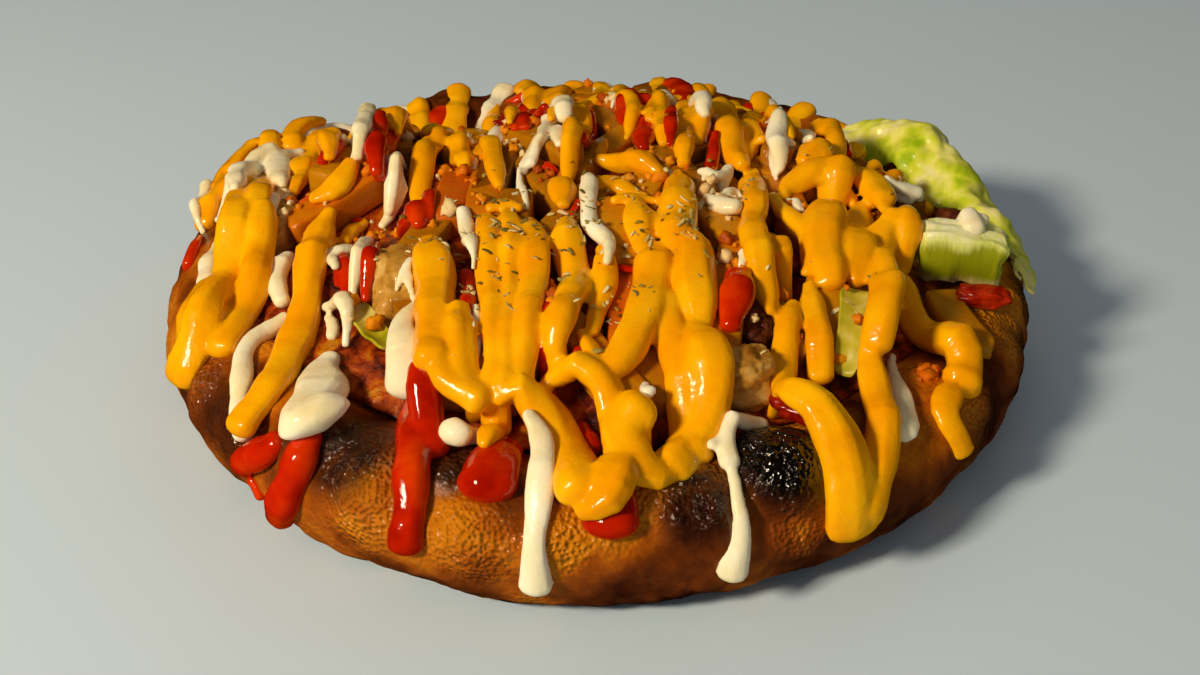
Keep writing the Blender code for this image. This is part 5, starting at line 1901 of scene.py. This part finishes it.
@dataclass(frozen=True)
class Lettuce:
    """The curly leaf over the right side, the cut rib beside it and the loose shreds."""

    dough: Dough
    sauces: Sauces
    columns: int = 21
    inner: tuple[float, float] = (0.5 * MM, 12 * MM)
    outer: tuple[float, float] = (2 * MM, 12 * MM)
    fall: float = 15
    waves: float = 26
    thickness: float = 1.3 * MM
    clear: float = 1.2 * MM
    frill: float = 1.8 * MM
    ease_rounds: int = 5
    ease_share: float = 0.9
    profile: tuple[tuple[float, float], ...] = (
        (-1, 0.78),
        (-0.5, 0.24),
        (0, 0),
        (0.4, 0.10),
        (0.75, 0.42),
        (1, 0.95),
    )
    levels: int = 3
    leaf_thickness: float = 0.8 * MM
    leaf_crinkle: float = 2.0 * MM
    shred_sides: tuple[float, ...] = (-1, -0.4, 0.3, 1)
    shred_thickness: float = 0.7 * MM
    shred_crinkle: float = 0.8 * MM
    rib_place: tuple[float, float] = (96.5, -28.5)
    rib_size: tuple[float, float, float] = (24 * MM, 11 * MM, 15 * MM)
    rib_turns: tuple[float, float, float] = (8, 6, -12)
    rib_lift: float = 0.62

    def between_ribs(self, degrees: float) -> tuple[float, float]:
        """Reach and height of the leaf's ridge at an angle, smoothly between its stations.

        Args:
            degrees: the angle.

        Returns:
            The distance from the middle and the height.
        """
        for start, end in zip(LEAF_RIBS, LEAF_RIBS[1:]):
            if degrees <= end.angle:
                share = max(0.0, (degrees - start.angle) / (end.angle - start.angle))
                share = share * share * (3 - 2 * share)
                reach = start.reach + (end.reach - start.reach) * share
                return reach, start.height + (end.height - start.height) * share
        return LEAF_RIBS[-1].reach, LEAF_RIBS[-1].height

    def eased(self, needed: list[list[float]]) -> list[list[float]]:
        """Spreads lifts over their neighbours, so that they fall off softly.

        Args:
            needed: the least lift of each point, row by row.

        Returns:
            Lifts that are nowhere less than that.
        """

        def around(lifts: list[list[float]], r: int, c: int) -> float:
            """The mean lift of a point and those beside it."""
            return mean(lift for row in lifts[max(0, r - 1) : r + 2] for lift in row[max(0, c - 1) : c + 2])

        lifts = needed
        for _ in range(self.ease_rounds):
            lifts = [
                [max(need, self.ease_share * around(lifts, r, c)) for c, need in enumerate(row)]
                for r, row in enumerate(needed)
            ]
        return lifts

    def leaf_rows(self, tree: BVHTree) -> list[list[Vector]]:
        """The rows of the leaf: up from the heap, over its ridge and down outside the rim.

        Args:
            tree: what the leaf lies on.

        Returns:
            The leaf's points, row by row.
        """
        rows = []
        first, last = LEAF_RIBS[0].angle, LEAF_RIBS[-1].angle
        for side, fall in self.profile:
            row = []
            for column in range(self.columns):
                share = column / (self.columns - 1)
                degrees = first + (last - first) * share
                ridge, height = self.between_ribs(degrees)
                narrow, broad = self.outer if side > 0 else self.inner
                width = narrow + (broad - narrow) * min(1.0, share * 2)
                wave = math.sin(share * self.waves + side * 2) * self.frill * (0.3 + abs(side))
                turn = math.radians(degrees)
                belly = 0.55 + 0.45 * math.sin(math.pi * (0.1 + 0.8 * share))
                reach = ridge + side * width * belly + wave * 0.5
                high = height - fall * self.fall * MM + wave
                row.append(Vector((reach * math.cos(turn), reach * math.sin(turn), high)))
            rows.append(row)
        needed: list[list[float]] = []
        for row in rows:
            needed.append([])
            for point in row:
                base, direction = self.dough.around_rim(point.xy)
                clear = self.sauces.height_over(tree, base, direction) + self.clear + self.thickness
                needed[-1].append(max(0.0, clear - (point - base).dot(direction)))
        for row, lifts in zip(rows, self.eased(needed)):
            for point, lift in zip(row, lifts):
                point += self.dough.around_rim(point.xy)[1] * lift
        return rows

    def sheet(
        self, name: str, rows: list[list[Vector]], thickness: float, crinkle: float
    ) -> bpy.types.Object:
        """A thin, crinkled, closed sheet through rows of points.

        Args:
            name: the piece's name.
            rows: its points, row by row.
            thickness: how thick it is.
            crinkle: how far its surface puckers.

        Returns:
            The finished piece.
        """
        columns = len(rows[0])
        faces = []
        for r in range(len(rows) - 1):
            for c in range(columns - 1):
                corner = r * columns + c
                faces.append((corner, corner + 1, corner + columns + 1, corner + columns))
        shape = Shape()
        shape.take([point.copy() for row in rows for point in row], faces)
        made = shape.piece(name)
        worked(made, "SUBSURF", levels=self.levels, render_levels=self.levels)
        made.data.update()
        normals = [vertex.normal.copy() for vertex in made.data.vertices]
        up = 1 if sum(normal.z for normal in normals) > 0 else -1
        for vertex, normal in zip(made.data.vertices, normals):
            pucker = abs(noise.noise(vertex.co * 105)) - 0.25 + 0.5 * noise.noise(vertex.co * 240)
            vertex.co += normal * up * crinkle * pucker
        worked(made, "SOLIDIFY", thickness=thickness, offset=-up)
        face_out(made)
        return made

    def build_leaf(self, tree: BVHTree) -> bpy.types.Object:
        """The curly leaf."""
        return self.sheet("lettuce_leaf_piece", self.leaf_rows(tree), self.leaf_thickness, self.leaf_crinkle)

    def build_shred(self, name: str, run: Run, tree: BVHTree) -> bpy.types.Object:
        """A narrow strip of lettuce that lies over the heap, curled up at its edges.

        Args:
            name: the node that it stands for.
            run: where it goes and how wide it is.
            tree: what it lies on.

        Returns:
            The strip.
        """
        stations = self.sauces.laid(run, tree, 1, STILL)[::3]
        rows = []
        for side in self.shred_sides:
            row = []
            for i, station in enumerate(stations):
                ahead = stations[min(i + 1, len(stations) - 1)].middle
                along = (ahead - stations[max(i - 1, 0)].middle).normalized()
                across = along.cross(station.rise).normalized()
                curl = (abs(side) * 1.5 + 0.6 * math.sin(i * 2.1 + side)) * MM
                row.append(station.middle + across * side * station.wide + station.rise * (curl + self.clear))
            rows.append(row)
        return self.sheet(name + "_piece", rows, self.shred_thickness, self.shred_crinkle)

    def build_rib(self) -> bpy.types.Object:
        """The thick cut rib: a bevelled block with a domed top and a fluted front.

        Returns:
            The rib.
        """
        made = block(0.14, 3, 7, 0.6)
        made.name = "lettuce_rib_piece"
        x, y = (part * MM for part in self.rib_place)
        turn = Euler([math.radians(degrees) for degrees in self.rib_turns]).to_matrix().to_4x4()
        place = Matrix.Translation((x, y, self.dough.top + self.rib_lift * self.rib_size[2]))
        whole = place @ turn @ Matrix.Diagonal((*self.rib_size, 1))

        def cut(point: Vector) -> Vector:
            """Where a point of the block ends up."""
            point.z += 0.10 * math.cos(point.x * 2.6) - 0.05
            point.y += 0.08 * math.sin(point.x * 4)
            flute = 0.05 * noise.noise(Vector((point.x * 11, 0, point.z)))
            point.y += flute - 0.08 * math.cos(point.z * 3) + 0.05
            slant = 0.10 * (0.5 - point.z) * (1 if point.x < 0 else -0.3)
            point.x += slant + 0.05 * noise.noise(Vector((0, point.y, point.z)) * 4)
            point.z += 0.09 * noise.noise(point * 4) - 0.16 * max(0.0, point.y) * (point.z + 0.5)
            return whole @ point

        mould(made, cut)
        face_out(made)
        return made


@dataclass(frozen=True)
class Herbs:
    """Dried herb flakes, thickest on the front crest."""

    dough: Dough
    heap: Heap
    sauces: Sauces
    count: int = 300
    length: float = 3.8 * MM
    thickness: float = 0.12
    middle: tuple[float, float] = (-2, -40)
    spread: tuple[float, float] = (34, 24)
    patched: float = 0.5
    patch: tuple[float, float] = (5, 4)
    bend: float = 1.6
    edge: float = 6 * MM
    lift: float = 0.25 * MM

    def build(self, tree: BVHTree) -> bpy.types.Object:
        """Makes one flake and lets curled copies of it fall on the heap.

        Args:
            tree: what they fall on.

        Returns:
            All the flakes.
        """
        bpy.ops.object.select_all(action="DESELECT")
        bpy.ops.mesh.primitive_grid_add(x_subdivisions=4, y_subdivisions=2, size=1)
        made = bpy.context.active_object
        worked(made, "SOLIDIFY", thickness=self.thickness, offset=0)
        flake = taken(made)
        draw = random.Random(SEED + 3)
        shape = Shape()
        for _ in range(self.count):
            x, y = (draw.gauss(middle, spread) * MM for middle, spread in zip(self.middle, self.spread))
            if draw.random() < self.patched:
                place = draw.choice(HERB_PLACES)
                x, y = (draw.gauss(middle, spread) * MM for middle, spread in zip(place, self.patch))
            size = self.length * draw.uniform(0.22, 0.9)
            narrow = draw.uniform(0.22, 0.5)
            curl = draw.uniform(-self.bend, self.bend)
            turn = tossed(draw)
            tint = draw.random()
            if math.hypot(x, y) > self.heap.radius + self.edge:
                continue
            base, direction = self.dough.around_rim((x, y))
            spot = base + direction * (self.sauces.height_over(tree, base, direction) + self.lift)
            bit = []
            for point in flake.points:
                wide = point.y * narrow * (1 - 1.6 * point.x * point.x)
                high = point.z * 0.5 + curl * (0.12 - point.x * point.x) * 0.5
                bit.append(spot + turn @ (Vector((point.x, wide, high)) * size))
            shape.take(bit, flake.faces, tint)
        return shape.piece("herb_flakes", "tint")


@dataclass(frozen=True)
class Studio:
    """A plain pale floor, soft light and the camera where the photo was taken from."""

    centre: Vector
    floor_size: float = 6
    lamps: tuple[Lamp, ...] = (
        Lamp("key", (-0.85, -0.75, 0.80), 0.22, 18, "#FFE9C4", True),
        Lamp("fill", (0.5, -1.1, 0.5), 1.0, 0.45, "#FFF8F0", False),
        Lamp("back", (0.2, 1.0, 0.9), 0.8, 1.2, "#FFF3E0", False),
    )
    room: str = "#F6EEE2"
    room_strength: float = 0.15
    aim: tuple[float, float, float] = (-1.5 * MM, -7 * MM, 0)
    distance: float = 0.44
    elevation: float = 33
    lens: float = 44.1
    sensor: float = 36
    nearest: float = 0.01

    def build(self) -> None:
        """Sets the floor, the lights, the room and the camera."""
        self.lay_floor()
        for lamp in self.lamps:
            self.hang(lamp)
        self.light_room()
        self.aim_camera()
        bpy.context.scene.view_settings.view_transform = "Standard"

    def lay_floor(self) -> None:
        """Lays the floor, which the wet food doesn't mirror."""
        bpy.ops.object.select_all(action="DESELECT")
        bpy.ops.mesh.primitive_plane_add(size=self.floor_size)
        floor = bpy.context.active_object
        floor.name = "floor"
        floor.data.materials.append(Finish.FLOOR.material())
        floor.visible_glossy = False

    def hang(self, lamp: Lamp) -> None:
        """Hangs a lamp and turns it to the middle.

        Args:
            lamp: the lamp.
        """
        light = bpy.data.lights.new(lamp.name, "AREA")
        light.size = lamp.size
        light.energy = lamp.power
        light.color = linear(lamp.colour)[:3]
        made = in_scene(lamp.name, light)
        made.visible_glossy = lamp.mirrored
        made.location = lamp.place
        made.rotation_euler = (-Vector(lamp.place)).to_track_quat("-Z", "Y").to_euler()

    def light_room(self) -> None:
        """Fills the room with a little light from all sides, which isn't mirrored."""
        world = bpy.data.worlds.new("soft_room")
        world.use_nodes = True
        background = world.node_tree.nodes["Background"]
        background.inputs["Color"].default_value = linear(self.room)
        background.inputs["Strength"].default_value = self.room_strength
        world.cycles_visibility.glossy = False
        bpy.context.scene.world = world

    def aim_camera(self) -> None:
        """Puts the camera in front of the pizza and above it."""
        lean = math.radians(self.elevation)
        forward = Vector((0, math.cos(lean), -math.sin(lean)))
        camera = in_scene("camera", bpy.data.cameras.new("camera"))
        camera.data.lens = self.lens
        camera.data.sensor_width = self.sensor
        camera.data.clip_start = self.nearest
        camera.location = Vector(self.aim) + self.centre - forward * self.distance
        camera.rotation_euler = forward.to_track_quat("-Z", "Y").to_euler()
        bpy.context.scene.camera = camera


@dataclass
class BurgerPizza:
    """The whole pizza: makes each piece, lays the next on it and hands it to the frame."""

    centre: Vector
    made: int = 0

    def keep(self, piece: bpy.types.Object, finish: Finish, slot: str, *nodes: str) -> None:
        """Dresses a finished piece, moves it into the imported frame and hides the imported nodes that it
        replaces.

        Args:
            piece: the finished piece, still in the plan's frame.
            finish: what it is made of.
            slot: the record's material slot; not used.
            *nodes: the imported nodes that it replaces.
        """
        piece.data.materials.clear()
        piece.data.materials.append(finish.material())
        piece.data.transform(Matrix.Translation(self.centre))
        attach(piece, "root")
        if nodes:
            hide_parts(*nodes)
        self.made += 1
        log.info("%s: %d faces", piece.name, len(piece.data.polygons))

    def packed(self, shape: Shape, *names: str) -> None:
        """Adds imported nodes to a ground, brought back into the plan's frame."""
        for name in names:
            shape.take_mesh(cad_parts[name].data, self.centre)

    def build(self) -> None:
        """Makes and lays every piece in order."""
        dough = Dough()
        heap = Heap(dough)
        sauces = Sauces(dough)
        lettuce = Lettuce(dough, sauces)
        toppings = Toppings(heap, dough)
        bits = Bits(heap)
        crust, core = dough.build(), heap.build()
        chips, dice = Chips(heap).build(), bits.build_dice()
        ground = Shape()
        self.packed(ground, "crust")
        for piece in (core, chips, dice):
            ground.take_mesh(piece.data)
        leaf = lettuce.build_leaf(ground.tree())
        self.packed(ground, *(chunk.name for chunk in CHUNKS))
        under = ground.tree()
        shreds = [lettuce.build_shred(name, run, under) for name, run in SHREDS]
        self.packed(ground, "lettuce_rib", *(name for name, _ in SHREDS))
        crumbs = bits.build_crumbs(dough, ground.tree())

        ketchup, mayonnaise, cheese = Shape(), Shape(), Shape()
        far = sauces.behind(34, 10, 20) + sauces.between(24, 7, 30)
        sauces.layer(KETCHUP_RUNS + BACK_KETCHUP + far, RUNNY, ground, ketchup)
        far = sauces.behind(19, 6, 21) + sauces.between(30, 4, 31)
        sauces.layer(MAYONNAISE_RUNS + BACK_MAYONNAISE + far, BLOBBY, ground, mayonnaise)
        far = sauces.behind(12, 8, 22) + sauces.between(10, 6, 32)
        sauces.layer(CHEESE_RUNS + BACK_CHEESE + far, ROPY, ground, cheese)
        sauces.layer(KETCHUP_OVER, RUNNY, ground, ketchup)
        sauces.layer(MAYONNAISE_OVER + TOP_MAYONNAISE, BLOBBY, ground, mayonnaise)
        herbs = Herbs(dough, heap, sauces).build(ground.tree())

        self.keep(crust, Finish.DOUGH, "baked_dough", "crust")
        # the core's finish carries painted shade for the gaps between the sauce lines
        self.keep(core, Finish.HEAP, "cheese_sauce", "filling")
        self.keep(chips, Finish.POTATO, "chips", "filling")
        self.keep(dice, Finish.DICE, "tomato", "filling")
        self.keep(crumbs, Finish.CRUMBS, "fried_chicken", "filling")
        self.keep(sauces.flowed(ketchup, "ketchup_lines"), Finish.KETCHUP, "ketchup", "filling")
        self.keep(sauces.flowed(mayonnaise, "mayonnaise_lines"), Finish.MAYONNAISE, "mayonnaise", "filling")
        self.keep(sauces.flowed(cheese, "cheese_lines"), Finish.CHEESE, "cheese_sauce", "filling")
        self.keep(herbs, Finish.HERBS, "herbs", "filling")
        kinds = {
            "patty": (Finish.BEEF, "browned_beef"),
            "chicken": (Finish.CHICKEN, "fried_chicken"),
            "tomato": (Finish.TOMATO, "tomato"),
        }
        for chunk in CHUNKS:
            finish, slot = kinds[chunk.name.split("_")[0]]
            self.keep(toppings.build(chunk), finish, slot, chunk.name)
        self.keep(leaf, Finish.LEAF, "lettuce", "lettuce_leaf")
        self.keep(lettuce.build_rib(), Finish.RIB, "lettuce", "lettuce_rib")
        for (name, _), shred in zip(SHREDS, shreds):
            self.keep(shred, Finish.SHRED, "lettuce", name)


def plan_centre() -> Vector:
    """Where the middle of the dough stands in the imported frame, read from the middle of the crust's floor.

    Returns:
        That place, on the table.
    """
    floor = Vector((0, 0, Dough().floor))
    places = (vertex.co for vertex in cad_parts["crust"].data.vertices)
    nearest = min(places, key=lambda place: (place - floor).length)
    return Vector((nearest.x, nearest.y, 0))


def main() -> None:
    """Builds the pizza and its studio."""
    logging.basicConfig(level=logging.INFO, format="%(message)s")
    noise.seed_set(NOISE_SEED)
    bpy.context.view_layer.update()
    centre = plan_centre()
    log.info("plan centre %s", [round(part / MM, 3) for part in centre])
    pizza = BurgerPizza(centre)
    pizza.build()
    Studio(centre).build()
    log.info("%d pieces", pizza.made)


if __name__ == "__main__":
    main()
